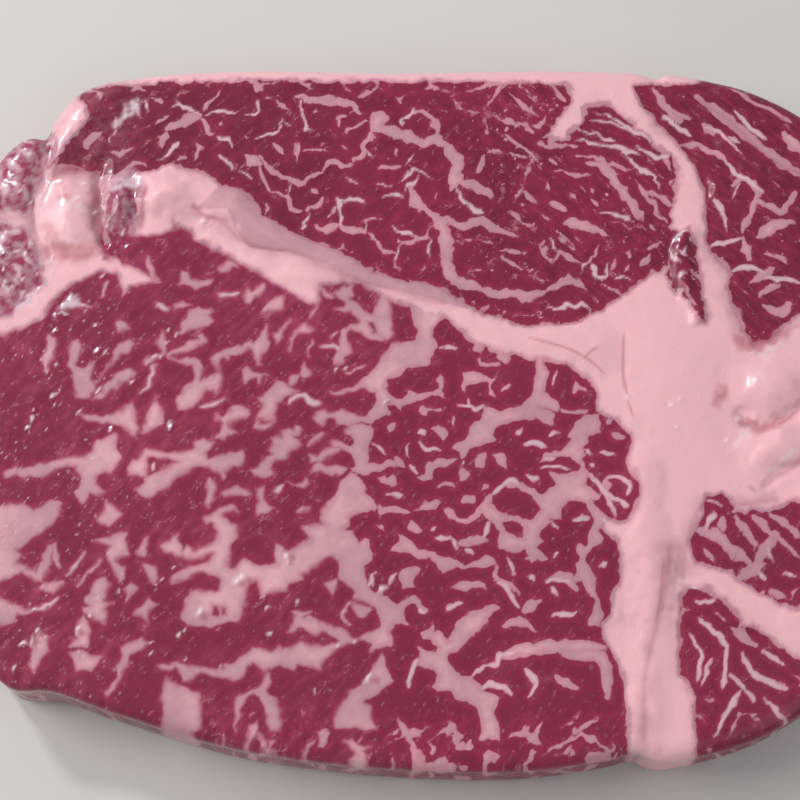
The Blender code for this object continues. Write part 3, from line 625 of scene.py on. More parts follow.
    """; -2.9,-14.2 -2.4,-12.8 -0.3,-12.1 1.7,-12.4 3.3,-12.2 1,-13.9 -1.4,-14.2 -1.7,-16.7 -3.5,-16.9
-4.9,-16.4 -4,-15.5 -3.1,-14.9; 4,-14.2 5.6,-15.3 5.2,-16.4 4,-16.7 3.7,-15.3; -1,-18.3 0.4,-17.1 2.1,-17.1
3,-18.1 1.1,-17.8; 7.8,-18.9 8.5,-17.4 9.4,-17.4 8.9,-18.5; 6.6,-12.4 8.9,-10.9 9.6,-11.9 8,-13.9 6.8,-13.6;
10.8,-11.4 12.6,-11.4 13.2,-14.2 11.6,-13.4; -12.5,-16 -11.4,-15.5 -10.4,-16.4 -9.4,-15.8 -8.2,-17.8
-9.4,-18.2 -11,-17.4; -12.7,-21.9 -12.2,-23.3 -9,-23.4 -6.6,-24 -5.2,-22.7 -4,-22.2 -3.1,-22.7 -1.4,-23.1
0,-21.7 0.7,-21 -0.4,-20.5 -1.4,-20.8 -3.1,-21 -4.5,-21.7 -5.7,-23.1 -7,-22.6 -10.4,-21.9; 4,-20 7,-20
6.6,-21.4 4.4,-21.4; -6.3,-26.6 -5.1,-25 -3.7,-26.9 -5,-27.2; -12.9,-25.9 -11.2,-25.7 -11.2,-27.5 -12,-26.9;
-8.7,-27.3 -7,-28.7 -4.9,-29.8 -3.2,-31.1 0,-32.2 3.4,-33.2 4.3,-33.9 5.1,-33.4 7.2,-32.5 8.9,-31.5
10.3,-32.9 11,-35 11.7,-36.3 13.7,-37.7 15.5,-39.8 13.4,-38.4 11.3,-37.4 10.4,-36 10.3,-33.8 8.2,-34.3
5.4,-34.3 1.6,-34.8 -0.1,-35.3 -0.8,-33.9 -2.2,-32.5 -5,-32.2 -7,-31.1 -8.4,-31.3 -10.2,-31.3 -9.5,-30.5
-8.1,-29.4 -8.1,-28.4; -8.1,-35.3 -6.4,-34.4 -4,-34.8 -5,-35.7 -5.5,-37.4 -5,-38.4 -7.4,-38.1 -8.4,-37;
1.9,-38.4 3.7,-37.2 6.5,-37 8.2,-37.6 8.5,-38.6 6.5,-38.1 4,-38.8; 11.3,-41.9 9.6,-41.4 7.9,-42.3 4.9,-43
6.4,-43.5 4.6,-43.8 2.8,-45.7 1.2,-48.7 -0.2,-47.4 -0.8,-46.5 -1.9,-47.1 -1.5,-45 -2.5,-46.4 -4,-47.1
-3.5,-48.4 -2.2,-48.1 -0.5,-50.1 -1,-51.3 -2.2,-50.8 -4.6,-50.1 -4,-52.1 -4.9,-53.8 -2.9,-53.8 -1,-55.5
-1.5,-57.9 -0.2,-58.9 1.5,-58.9 3.2,-60.3 4.8,-60.6 7.2,-62 7.2,-68 11,-68 10.1,-62 11.1,-59.9 9.9,-59.1
7.5,-58.6 7.2,-57.2 5.8,-56.2 3.8,-55.7 2.5,-54.1 1.5,-52.1 3.2,-50.1 5.2,-48.4 7.6,-46.7 9.3,-45 8.6,-44.3
9.9,-43.3"""
    # The fat round the blocks at the right edge of the eye
    """; 0.7,-22.7 2.2,-23.1 3.1,-24.3 5.2,-24.3 6.6,-23.4 8,-21.7 9.3,-19.4 10.2,-19.4 10.2,-21.7 11.7,-23.1
13.5,-23.8 15.9,-24.3 18.2,-24.7 19.7,-22.7 18,-20 16.8,-18.8 14.4,-18.2 12,-18 13.6,-16.6 16,-17.2 18.4,-18
19.2,-19.4 20.2,-19.4 21.6,-18.1 22.9,-17.3 21.3,-15.2 24.9,-15.1 26.8,-15 27.6,-14.2 26.8,-12.6 25,-11.6
22.6,-11.4 19.8,-12.8 20.9,-11 23.6,-10.3 25.6,-9.2 26.4,-7.9 25.1,-7 26.4,-5.6 28.4,-4.1 28.4,-3.1 31.1,-2.8
32,-2.7 32.1,-4.9 31.9,-6.7 30,-7 29.3,-7.7 29.6,-8.5 28.2,-9.4 28,-10.6 28.8,-11.7 28.3,-12.4 28.2,-13.9
29.4,-15.5 28.7,-16 28.5,-17.4 29.9,-18.5 31.6,-19.4 31.2,-20.3 30,-20.7 30.5,-21.9 32.5,-23.1 34.6,-24.9
31.2,-26.6 31.7,-28.4 31.4,-29.4 29.3,-30.1 29.3,-31.1 28.6,-31.8 28.9,-33.9 29.9,-35.3 30.3,-37 30.6,-38.8
30.6,-41 31.4,-44 30.6,-46.4 28.8,-45 30,-41 28.9,-38.8 27.4,-37 25.8,-37.4 25.5,-36.7 26.6,-35.3 26.3,-33.6
27.4,-32.5 26.7,-31.5 26.5,-30.1 27,-29.2 28,-29.9 29.5,-26.6 30,-24.3 29.3,-23.1 29,-21.3 27.1,-20.6
25.8,-20.8 23.7,-22.6 23.8,-24.1 21.8,-24.1 21.2,-25.2 19.5,-26.6 19.3,-28 20.5,-28.9 18.6,-30 19.9,-31.5
21.1,-32.9 19,-32.7 17.3,-33.4 16.4,-32.6 17.3,-32.2 16.8,-30.6 13.8,-31 11.4,-30.8 11.6,-29.4 11.4,-27.6
12.8,-27 14.5,-28 16.2,-28 17,-26.4 16,-25.2 13.8,-24.7 12.3,-25.2 12.8,-27 11.4,-27.6 10.4,-25.9 9.3,-24.1
8.3,-22.9 7.3,-24.1 5.5,-25.2 3.1,-25.4 1.7,-24.5"""
)

EYE_ISLANDS = areas(
    """-58.2,-11.8 -55,-12.2 -52,-13 -54.4,-14.2 -56.4,-14.9 -57.8,-15.9 -58.2,-14.4; -36.3,-3.8 -33.6,-4
-34,-4.7 -36.1,-4.7; -19.8,15.3 -18.4,16.7 -17.9,16.5 -18.8,15.2; -44.3,-42 -43,-42.2 -43,-43.8 -44.2,-44;
-42.4,-42.6 -41.5,-42.6 -41.5,-43.8 -42.4,-43.8; -82.2,-31.4 -79.4,-33.4 -81,-33.8 -82.8,-33; -15.6,2.4
-14.2,2.4 -13.2,1.2 -13.4,0.2 -15,0.4"""
)

CAP_BORDER = points(
    """-76,68.6 -73.4,65 -73.2,61.6 -75,58 -78.6,53.6 -80.6,51 -76,50.2 -70,50 -66.5,49.2 -64.6,50.6
-60.4,49.8 -57,51 -55,52 -52,51 -49,50 -46,48 -45,46.7 -41,46 -38,43.5 -36,40.2 -32,37.5 -28,35.2 -24,34.3
-20,32 -13,27.5 -9,25.7 -2,25 2,23.5 6,20.5 10,18 16,16.5 24,16.5 28,17.3 32,19.5 36,22 40,25 42,26.5 46,29.5
46.4,27.6 48,23.8 50.5,21 52.3,17.6 53.8,16.2 53.4,22 52.8,29 52.4,34 51.4,36.6 49,36.6 47.2,37 47.4,40
48.6,45.5 49.4,49 48.8,52.8 45,55.7 43.4,58 39.2,61.9 35.4,65.3 31,65 30.4,62 28.6,60 26.4,57 22,57.4 25,62
27.6,65.6 27.6,69.5 0,70.4 -40,70.6 -62,69.8"""
)

CAP_FAT = veins(
    # Left end
    """3.2: -50,63 -52,62 -54.4,60.6 -57,59; 1.1: -50,63.4 -53.6,64.8 -56,65; 1.5: -49.4,63.6 -47.4,66.4
-46,68.6; 1.1: -49,62.6 -45.6,63.6 -42,63.4; 1.6: -50,62 -48,60 -47,58; 2.4: -57,58.6 -57.4,56; 1: -55,67
-54,64.6 -52,64; 1.6: -50,57 -49.4,54.6 -50.6,52.4; 1.1: -57.6,53 -55,55.4 -54,57; 1.4: -65,50 -62.6,52
-60,51; 2.2: -70,59 -72.4,57 -73.4,54.6; 1.4: -63,56 -66,54 -68.4,54.4; 1.3: -66,66.6 -65,62.6;
1.2: -63.6,66.6 -62.6,62; 1.1: -61.4,66.4 -60.6,62.6; 1.8: -60,66.6 -57.4,65.6"""
    # The branching network in the middle
    """; 2: -38,54.8 -36,51.8 -34.3,50 -32.2,48.6 -28.5,47 -26.8,48.5 -24,49.3; 2.1: -24.4,49.2 -23.2,51.2
-20.2,51.3 -17.6,51.6; 2.1: -18,51.5 -16.2,52.9 -15.8,55.5 -14,57.8 -13,59.6; 4: -40.4,53.4 -37.2,51.6;
1.4: -37.4,51.4 -36.4,48.4 -35.6,46.6 -34,44.8; 2: -34.4,45 -31,43.6 -30,41.6 -27.8,41; 1.5: -28,41 -25,42
-24,43.8; 0.9: -31,44 -31.2,47.4; 0.9: -27,41 -27,38.4 -28.6,37.4; 2.2: -25.5,37.5 -23.2,36.7 -20.6,38;
2.4: -21,38 -17.8,36.7 -15,37; 1.3: -15,37 -14.2,39 -11.8,39.5; 1.5: -14.8,37 -13.2,34.3 -11,32 -8.6,31.8;
0.9: -8.4,34.8 -8.4,28; 1.3: -8.6,34.4 -7,33.9 -4.4,34.6 -2.6,35.7 -1,37.8; 1.1: -10,37.4 -7,36.2 -3.6,35.2;
0.9: -2.3,35.8 -2,30.6; 1.1: -20,37.8 -20,41.6 -20.8,43.8; 1.1: -21,43.2 -18,43.4 -14.8,42.7; 0.8: -20.2,42.6
-23.2,39.6; 2.8: -30,67 -24,66 -19,65.4 -15.8,62.8; 1.3: -14,61.5 -17.6,59.6 -19,58.4; 3.6: -10.6,62.8 -13,61
-12,59; 3.2: -12.6,59.6 -9.5,58.8 -6.6,57.8 -4.6,56.3; 3: -5,56.4 -2.6,56.2 -0.4,57.2 2,54.8; 3.8: 1.4,55.4
3.8,52 3.5,48.5 2.6,45.8; 3: 3.4,48 6,47 8.6,46 11.4,44.2; 2.2: -6.4,63 -3,63 -0.8,60.6 -0.4,57.4;
1: -4.4,64.2 -6.8,62 -7.6,60; 2.6: -6,46.4 -4.7,43 -2.4,41 -0.4,39.4; 3.6: -0.8,39.6 1,36.6 1.6,33.4 1.2,30;
3.2: 1.2,30.6 2.2,27.4 5,25 8,24.5; 2.9: 7.6,24.6 10.4,23.2 14.6,22.8 18,22.4 22,23.6; 2.4: 21.6,23.4 25,25.6
27.4,26 30,24; 2.6: 1,39.2 4,38 8,38.6 12,37 16,35.4; 1.4: -13.2,49.8 -10,50.5 -7,50.9; 0.9: -7,51 -5.4,53.6;
1: -8.2,46.8 -5,50 -1.6,48.4; 1.1: -7.2,45.4 -3.8,48.4; 1.1: -19.8,48 -16,47; 1: -13.2,47 -9.8,46.3;
1.1: -12,43.6 -9.2,44.4 -7.4,43.8; 0.8: -15.6,54.8 -13.2,53.2; 1.5: -20.4,55.6 -19,54; 1.3: -28,54.5 -25,54.8
-22.6,54; 1.5: -29.6,56 -29.4,52; 0.9: -28.6,65.6 -27.8,61.4 -27.4,59.6 -25.2,59.2; 0.9: -32.4,61.8
-33.4,58.8 -36,58.5 -38,57; 0.8: -32.6,61.4 -30.6,60.2; 0.9: -38,66.4 -37.2,63.4 -40,62.6; 1: -46,58 -43.6,57
-43,55; 1.2: -46,53.6 -43,52 -42.4,50; 1: -41,49.6 -38.6,48.6; 1.2: 3.4,45.4 6,42.6 9.4,40; 1.4: 14,41
17,38.6 19.4,38"""
    # The right end, where the fibres run down to the right
    """; 5: 33.4,68 29.4,64.4 27,60.4 23.6,56.6; 1.8: 29,56 25,55.4 20.4,56.4; 1.1: 35,63 40,60 43.8,57.4;
0.9: 31,61.6 37,60.5 42,58.4 45,55.4; 1: 29,59.6 34,58 37.4,56.4; 1.1: 28.4,57.6 33,56 38,55 41.4,53.8;
1.3: 27.4,53.8 32.4,53.2 35.6,51.4 41,50.4; 1: 38,54.2 41,51.2 44.6,48.6 45.6,46; 1.1: 41,55.6 45,53.6
47.8,53; 1.4: 44.8,55.4 47,53.6 48.4,50; 3: 30,52 34.5,50.8 37,47 39.4,43 42.2,39; 1.8: 41,47.6 44,43
46.4,38.6; 2.2: 43,45.6 46,44 47.4,41.6; 0.9: 33,41 37,40 39.8,39.4; 1.3: 35.6,38.8 40.4,37.4; 2.8: 26,38.4
30,38 34.6,35.8; 1.3: 23,49.6 28,49 31.8,48.4; 2: 22,47.6 23.2,45.2; 1.5: 31.2,47 31.8,45; 1.5: 27,45.2
28.8,43.2; 1.6: 21,34.4 21.6,31 23.4,30; 1.3: 23,30 25,32 27,30.4 29,29; 1.3: 28.6,29 31,30 32.6,33.4;
1: 24,32 22.4,35; 1.2: 28.4,27.4 30.2,29.8; 1.2: 31.4,29.4 32,27 33.8,26.4; 1.2: 34.8,29.4 33.4,25.6;
1.4: 36.4,30.6 35.4,27.6; 1.8: 38.8,30 37.8,27.6; 2.2: 41,29 43.4,31.6; 1.5: 41.6,32.6 45.4,34.2;
1.5: 32.8,25 36,24 37.2,22.6; 1.1: 36,26.2 39.4,26; 1.1: 21.6,20.2 25,20 29,20.6 30.4,18.8; 1.2: 47.4,32
49,29.4; 1.3: 49.6,24.6 51,21.6 52,19.6"""
)

END_BORDER = points(
    """41,69.5 43,65 45.6,61.8 50,56.6 53,52 54.6,48 55.4,44.6 55,40 55.2,35 56,32 58.4,29.8 60,27.4 59,24.6
59.4,22 61,18 62,14.6 63.2,12.6 66,13 69,15.5 71.5,18 80,20.5 100,22 100,70 70,80 55,70"""
)

END_FAT = veins(
    """2.2: 54,67.4 58,64 62,60.2 66,56.6 70,52.8 75,49; 1.5: 45,69 48,64 51,61; 1.4: 51,56 55,55.4 60,52.4;
1.2: 59.6,52.6 61.4,49.4 64.2,48 67,45.2; 0.9: 56,60 58.6,58.4 60,57 63,53.6; 2: 55.6,60.6 57,58.8;
1.1: 60.6,57.4 62.6,56.8; 1.4: 60.8,47 62.6,48.2 65,47.4 66,45 64.6,42 63.4,38.6 62.4,36.2; 0.9: 62,47
60.4,43.6; 1.8: 65,43.4 68,42 70.6,41 73.4,44.4; 2.4: 65.4,35 69,37.6 72.6,38.4; 2.4: 62.4,35 63.4,30.6;
1.2: 56,33 59,34.6 61.6,35; 1.6: 68.4,28.4 65.6,27 63.6,25.6; 1.1: 66,26.6 70,26 74,25; 1.1: 60,28 63,28.6
66.4,27.4; 1.3: 65,22 67,24 69.4,25; 1.7: 66,20.6 69,18.8 71.6,21; 1: 57,44 58.4,41 59,37; 1.4: 46,66 49,63.6
52.6,62; 1.2: 47,62.4 50,60 53,57.6; 3: 72,58.4 76,54; 1.2: 62,64 65,60 68,57.6; 1.3: 78,44 84,38 88,34;
1.2: 74,34 80,30 86,26; 1.5: 76,52 82,47 87,42"""
)

LOWER_FAR_BORDER = points(
    """52,-21 52.8,-19.8 55.5,-19.4 57.2,-20.6 57.8,-22.3 56.4,-23.3 60.5,-23.3 61.5,-22.9 65.3,-22.7
68,-21.7 69.8,-21 78,-23 86,-24 100,-22 100,-44 84,-50 76,-46 69.5,-42.6 62,-39 59.6,-37.1 57.7,-35.7
56.6,-34.7 53.2,-34 50,-33 49,-28.5 50.2,-26.3 52,-23.6"""
)

LOWER_FAR_FAT = veins(
    """2.4: 50.6,-26.8 54,-28 57,-30.6 60.4,-33.6; 0.9: 52.8,-20.6 55.6,-21.6; 0.9: 54.2,-22.8 53,-25
51.8,-26.8; 2: 55.2,-24.6 55.6,-26.8; 1.4: 58.4,-24.2 60,-27.6 61.8,-30.4; 1.3: 61,-23.8 64,-26.4 66.6,-29
70.4,-32; 2: 64.8,-28.8 63,-31.6 61.2,-34.4; 1.4: 65,-23.2 67.6,-25.6 70.4,-28; 1.8: 63.4,-33.4 60.4,-35
58,-36.2; 1.1: 61.8,-34.8 63.4,-36.8; 1.1: 66.8,-35.6 69.4,-36.2; 0.9: 63.8,-29.8 65.2,-33.4; 1.4: 51.6,-30.6
53.4,-32.8; 1.2: 73,-25 78,-30 84,-32; 1.2: 72,-34 77,-38 84,-40; 1: 80,-26 85,-30"""
)

LOWER_NEAR_BORDER = points(
    """47,-40 48.5,-38.5 52,-38.5 55,-41 58,-44.5 57.4,-46.6 60,-46 63,-48 68,-52 76,-57 84,-58 70,-74 48,-78
48.6,-66 49,-60 46.5,-55 46,-50 46.5,-45"""
)

LOWER_NEAR_FAT = veins(
    """1.2: 50,-41.4 53.4,-40.2; 1.1: 55,-49.6 54.6,-54 54,-58.4; 1.1: 49.6,-44.6 53,-47 55.2,-50.4;
1.9: 56.4,-46.6 60.4,-49.4; 1: 48,-47.6 50,-52 49,-56.4; 1: 52,-52.6 50,-57.4; 1.2: 58,-51.6 61,-56 66.4,-58;
1.2: 56,-55.6 60,-60.4; 1.2: 62,-50.6 66,-54; 1: 57.4,-59 54,-63 52,-67; 1.1: 62,-60 66,-64"""
)

TIP_MUSCLES = (
    Muscle(
        Region.TIPS,
        points(
            """-91,58 -85,59 -81,57.4 -80.6,54.6 -82.4,51.8 -83.4,47 -83.6,42 -85,40.6 -88,41.6 -100,42
-100,54"""
        ),
        veins(
            """2: -89,52 -86.6,50; 1.6: -86,54 -83.6,52.4; 1.6: -90.4,47 -88,45.4; 1.4: -86.6,46.6 -84.6,44;
1.2: -87.4,57.4 -84.4,56.4; 1.4: -91.6,50 -90.6,48.6"""
        ),
    ),
    Muscle(
        Region.TIPS,
        points(
            """-100,40 -90,39 -87,37 -84.6,37.4 -83.6,33 -81.4,30 -81.2,25.4 -84,21.6 -88,18.6 -100,16"""
        ),
        veins(
            """1.6: -90.6,34 -88,36 -86,36.4; 1.2: -87,28.6 -84.6,26; 1.4: -90.6,24 -88,22.6; 1: -85,32
-83,29"""
        ),
    ),
    Muscle(
        Region.TIPS,
        points(
            """-68.4,43 -67.2,46.8 -64,48 -61.2,46.6 -62,42 -62.4,38 -64.4,35 -67,34.6 -69.2,37"""
        ),
    ),
)

MUSCLES = (
    Muscle(Region.EYE, EYE_BORDER, EYE_FAT, EYE_PATCHES, EYE_ISLANDS),
    Muscle(Region.CAP, CAP_BORDER, CAP_FAT),
    Muscle(Region.END, END_BORDER, END_FAT),
    Muscle(Region.LOWER, LOWER_FAR_BORDER, LOWER_FAR_FAT),
    Muscle(Region.LOWER, LOWER_NEAR_BORDER, LOWER_NEAR_FAT),
    *TIP_MUSCLES,
)

# The eye's main channel of fat, the seam's upper layer and the fat kernel, then thin red lines, painted
# sheen, painted shade and drops

EYE_CHANNEL = points(
    """-2,30 -6,12 -13,2 -16,-8 -18,-22 -15,-38 -10,-50 -8,-80"""
)

SEAM_UPPER_LAYER = points(
    """-50,41 -43.5,41 -42,38 -39,33 -35,32.3 -30,31.6 -22,28.5 -15,24.5 -8,23 0,21 6,19 2,23.5 -2,25 -9,25.7
-13,27.5 -20,32 -24,34.3 -28,35.2 -32,37.5 -36,40.2 -38,43.5 -41,46 -45,46.7"""
)

KERNEL = points(
    """14,13 28,12 38,20 48,22 54,14 60,12 72,12 90,16 92,-14 70,-18 56,-17 40,-20 38,-10 31,2 20,9"""
)

# Thin dark red lines along creases: partly red lean showing between the fat, partly painted shade in the
# creases.
RED_SHADE_LINES = veins(
    """0.6: 37.2,14 36.8,6 37.4,1.5; 0.5: 37.6,0 38.6,-3.6; 0.5: 28.5,8.4 31,10.6 31.8,10.8; 0.5: 18,13 25,11
30,8.4 33,5.6; 0.7: -50,41 -47.6,39.6 -43.5,38.6; 0.6: -42,37.6 -39.4,33.8 -35,32.4 -31,31.8; 0.8: 61.4,-3.4
64,-5.2 68,-4.6 71,-2.2; 1: 60.4,12.6 62.4,11 65.6,11.6; 0.6: 43.6,-33 42.6,-41 41.4,-46; 0.7: 61,-17.6
62.4,-19; 0.8: -54.6,37.2 -53.4,38.2"""
)

# Painted highlights: white sheen marks where the wet fat and lean catch the light.
SHEEN = veins(
    """2.4: 62,4 64,5; 1.6: 64,9.6 67,11 70.4,13.4; 1.2: 59.2,-3.8 59.8,-3; 1.6: 59,-9.6 60,-7.6 62,-6.2;
0.9: 64.6,-16 67,-13.4 70.6,-10.4; 1.2: 37.2,1.4 37.6,0.8; 0.8: 49,35 50,36.4 51,36.5; 0.8: 49,26.5 49.6,27;
1.4: 46.4,-36.4 47.6,-36.6; 0.8: 46,-39 46.6,-37; 0.8: 48,-38.2 50,-38; 2.4: -78,40.4 -75,42 -73,41;
2.2: -67.4,45.4 -65,47 -61.6,47; 2.2: -82,22.8 -86,19.5; 1.6: -76.7,20 -73,22.2; 1: -81.5,30.4 -79.8,29.3;
1.2: -86.6,26.4 -85.6,24.6; 1: -88.4,25.5 -88,23; 0.8: -79,28.6 -79.6,26.6; 0.7: -77.2,18.4 -75,18.9;
1.3: -86,22.6 -84.8,23.2; 2: -67,60.6 -63,66; 1.4: -78,35 -74,34.4; 1: -76.4,38 -76,34"""
)

# Painted shade: dark red strokes in grooves and under the lobes and knob at the left end, and under the
# rolled edge and between the lobes by the kernel.
SHADE_STROKES = veins(
    """3.4: -80.4,37.6 -79.4,33.6 -75,31.4 -70.4,32.4; 2.6: -80,47 -77.4,50 -70.6,50.6; 2.4: -70.2,48
-70.6,42 -70,36; 1.6: -60.6,46 -61.4,41 -61.6,37; 2: -54.8,38.4 -53.4,36.6; 2: -77.4,44.4 -76.4,44;
1.6: -51,41.8 -49.6,41.2; 2: -80.6,55.6 -82.6,48; 2.6: 59.6,14 62,11.8 66,12 71,15; 2.6: 55.4,-1 56.6,3;
1.8: 60,-4 64,-5.6 70,-3"""
)

DROPS = drops(
    """2: -69,10.6 -53.7,-5.5 -47.2,-43.5 -40,-37 -38.6,-36.4 -85,53.5 -13.9,-55.9 63,4.5 -75,22 -79.8,-48.4;
1.5: -67.3,10.6 -68.6,2.3 -61.9,4 -77.7,15.2 -77.8,0.6 -79.2,6.4 -65.7,-6 -82.4,-5.5 -57,-14 -81.5,-4 -19,7
-20.6,6.3 -30,-32 -68.7,27.1 -76.6,20.5 -78,18.5 -86,32 -84.5,31.7 -80,30 -84.5,26 -87,24 -82,27 -65,36
-74.5,43.5 -71,40.3 -81.5,56 -78.3,-47 -82.2,-54.2 -70.5,-46.8 -49.4,-46.6 -50.8,-47.7 -11.3,-38.5 -33.5,-47
46,-1 59.5,-3.5 50.5,32 -48.5,38.7 -81,-49.4; 1.1: -55.3,12.6 -55,15.1 -53.3,14.2 -72.1,-2.3 -76.8,2.2
-77.5,-1.5 -77,7.8 -57.8,9.2 -56.5,9.2 -81.2,-2 -11,0 4,-13.5 -69.6,16.2 -64,33.3 -66,31.6 -69,31 -73.5,47.5
-68.2,-44 -78.8,-42.4 -54.2,-36.6 -55.7,-37.6 -63.1,-39 -52.2,-34.2 -56.1,-49.4 -56.4,-51.3 -49.3,-52.1
-33.8,-42.4 -34.5,-39.9 -27.7,-41.2 -42.8,-53.8 -17,-48.4 -20.1,-49.8 -24.4,-59 -13,-37.2 -30.1,-33.2 48,0
37.5,1 57,-8 63,10.3 49.3,26.5 49,35 47,-5.5 28.5,8.5 -88,49 -86.5,45 -84,43 -89,36 -81.4,24 -83.6,34
-88.6,28"""
)


# Where the meat is lean and where it is fat

def brushed(touches: Sequence[Vein], x: Array, y: Array) -> Array:
    """How fully soft touches cover each place: 1 in their middles, 0 from half a width outside them on."""
    cover = np.zeros(x.shape)
    for touch in touches:
        close = near(x, y, touch.path, 1.5 * touch.width)
        if len(close):
            gap = touch.distance(x[close], y[close]) + 0.5 * touch.width
            cover[close] = np.maximum(cover[close], fade(np.maximum(gap, 0) / touch.width))
    return cover


@dataclass(frozen=True)
class Streaks:
    """Streaks of grown fat: noise above a level, times a steepness, its places bent in broad waves."""

    grain: Grain
    level: float
    steepness: float
    bend: float = 0.0
    waves: Grain = Grain(18, 0)

    def field(self, x: Array, y: Array, level: Array | None = None) -> Array:
        """Distance outside the fat, with the level given for each place if it varies."""
        level = self.level if level is None else level
        shift = self.bend * self.waves.at(x, y) if self.bend else 0.0
        return self.steepness * (self.grain.at(x + shift, y + shift) + level)


def flecks(turn: float, level: float, seed: int, size: float = 1.25) -> Streaks:
    """Small scattered flecks of fat along a direction."""
    return Streaks(Grain(1.85 * size, seed, 2, breadth=size, turn=turn), level, 4.0)


def fibrous(turn: float, seed: int) -> Streaks:
    """Long thin lines of fat between the fibres."""
    return Streaks(Grain(9.5, seed + 1, 2, breadth=1.9, turn=turn), 0.36, 2.2, 2.0, Grain(18, seed))


@dataclass(frozen=True)
class Flames:
    """Flame-like fat rising to the right: stretched noise above a level, its places bent and then shaken."""

    length: float = 6.2
    breadth: float = 3.0
    turn: float = 47
    seed: int = 11
    bend: float = 2.2
    waves: Grain = Grain(14, 31)
    shakes: tuple[tuple[float, Grain], ...] = ((0.3, Grain(3.6, 41)), (0.35, Grain(2.6, 51)))
    level: float = 0.29
    steepness: float = 3.4

    def field(self, x: Array, y: Array) -> Array:
        """Distance outside the fat."""
        bend = self.bend * self.waves.at(x, y)
        stretched = turned(x + bend, y - bend, self.turn, self.length, self.breadth)
        a, b = (axis + far * shake.at(x, y) for axis, (far, shake) in zip(stretched, self.shakes))
        return self.steepness * (Noise.layered(a, b, self.seed) + self.level)


@dataclass(frozen=True)
class CellNet:
    """A net of fat: the distance to the borders of warped cells, less a half width that leaves out stretches.

    The warp, the shake and the width's swing are each written as how far, then over which length, in mm.
    """

    size: Point
    turn: float
    seeds: tuple[int, ...]
    scale: float
    warp: Point = (1.8, 8)
    shake: Point = (0.35, 1.2)
    jitter: float = 0.95
    width: float = 0.15
    swing: Point = (0.95, 6)

    def field(self, x: Array, y: Array) -> Array:
        """Distance outside the fat."""
        moved = []
        for axis, (wave_seed, shake_seed) in ((x, self.seeds[:2]), (y, self.seeds[2:4])):
            waves = self.warp[0] * Grain(self.warp[1], wave_seed).at(x, y)
            moved.append(axis + waves + self.shake[0] * Grain(self.shake[1], shake_seed, 1).at(x, y))
        border = Noise.cells(*turned(*moved, self.turn, *self.size), self.seeds[4], self.jitter)
        width = self.width + self.swing[0] * Grain(self.swing[1], self.seeds[5]).at(x, y)
        return border * self.scale - width


def branching(turn: float, size: float, seed: int) -> CellNet:
    """A thin branching net of fat."""
    return CellNet((size * 1.25, size), turn, tuple(range(seed, seed + 6)), size)


@dataclass(frozen=True)
class Style:
    """How ragged a region's borders are, in millimetres.

    Wobble, kinks and teeth are their uneven, their angular and their combed parts. Widening is how far placed
    streaks are widened, and clearing is how far the grown pattern is held off them.
    """

    wobble: float
    kinks: float
    teeth: float
    widening: float
    clearing: float


@dataclass(frozen=True)
class Ground:
    """What the finish starts from at each place: its lean, its region, and its broad and fine mottling.

    Side is how far left of the eye's channel it lies, far_left how near the steak's left end, and knob how
    fully it is among the forms at the far left corner, each from 0 to 1.
    """

    x: Array
    y: Array
    lean: Array
    regions: Array
    side: Array
    far_left: Array
    knob: Array
    broad: Array
    mottling: Array
    speckles: Array

    def within(self, region: Region) -> Array:
        """Whether each place lies in a region."""
        return self.regions == region.value


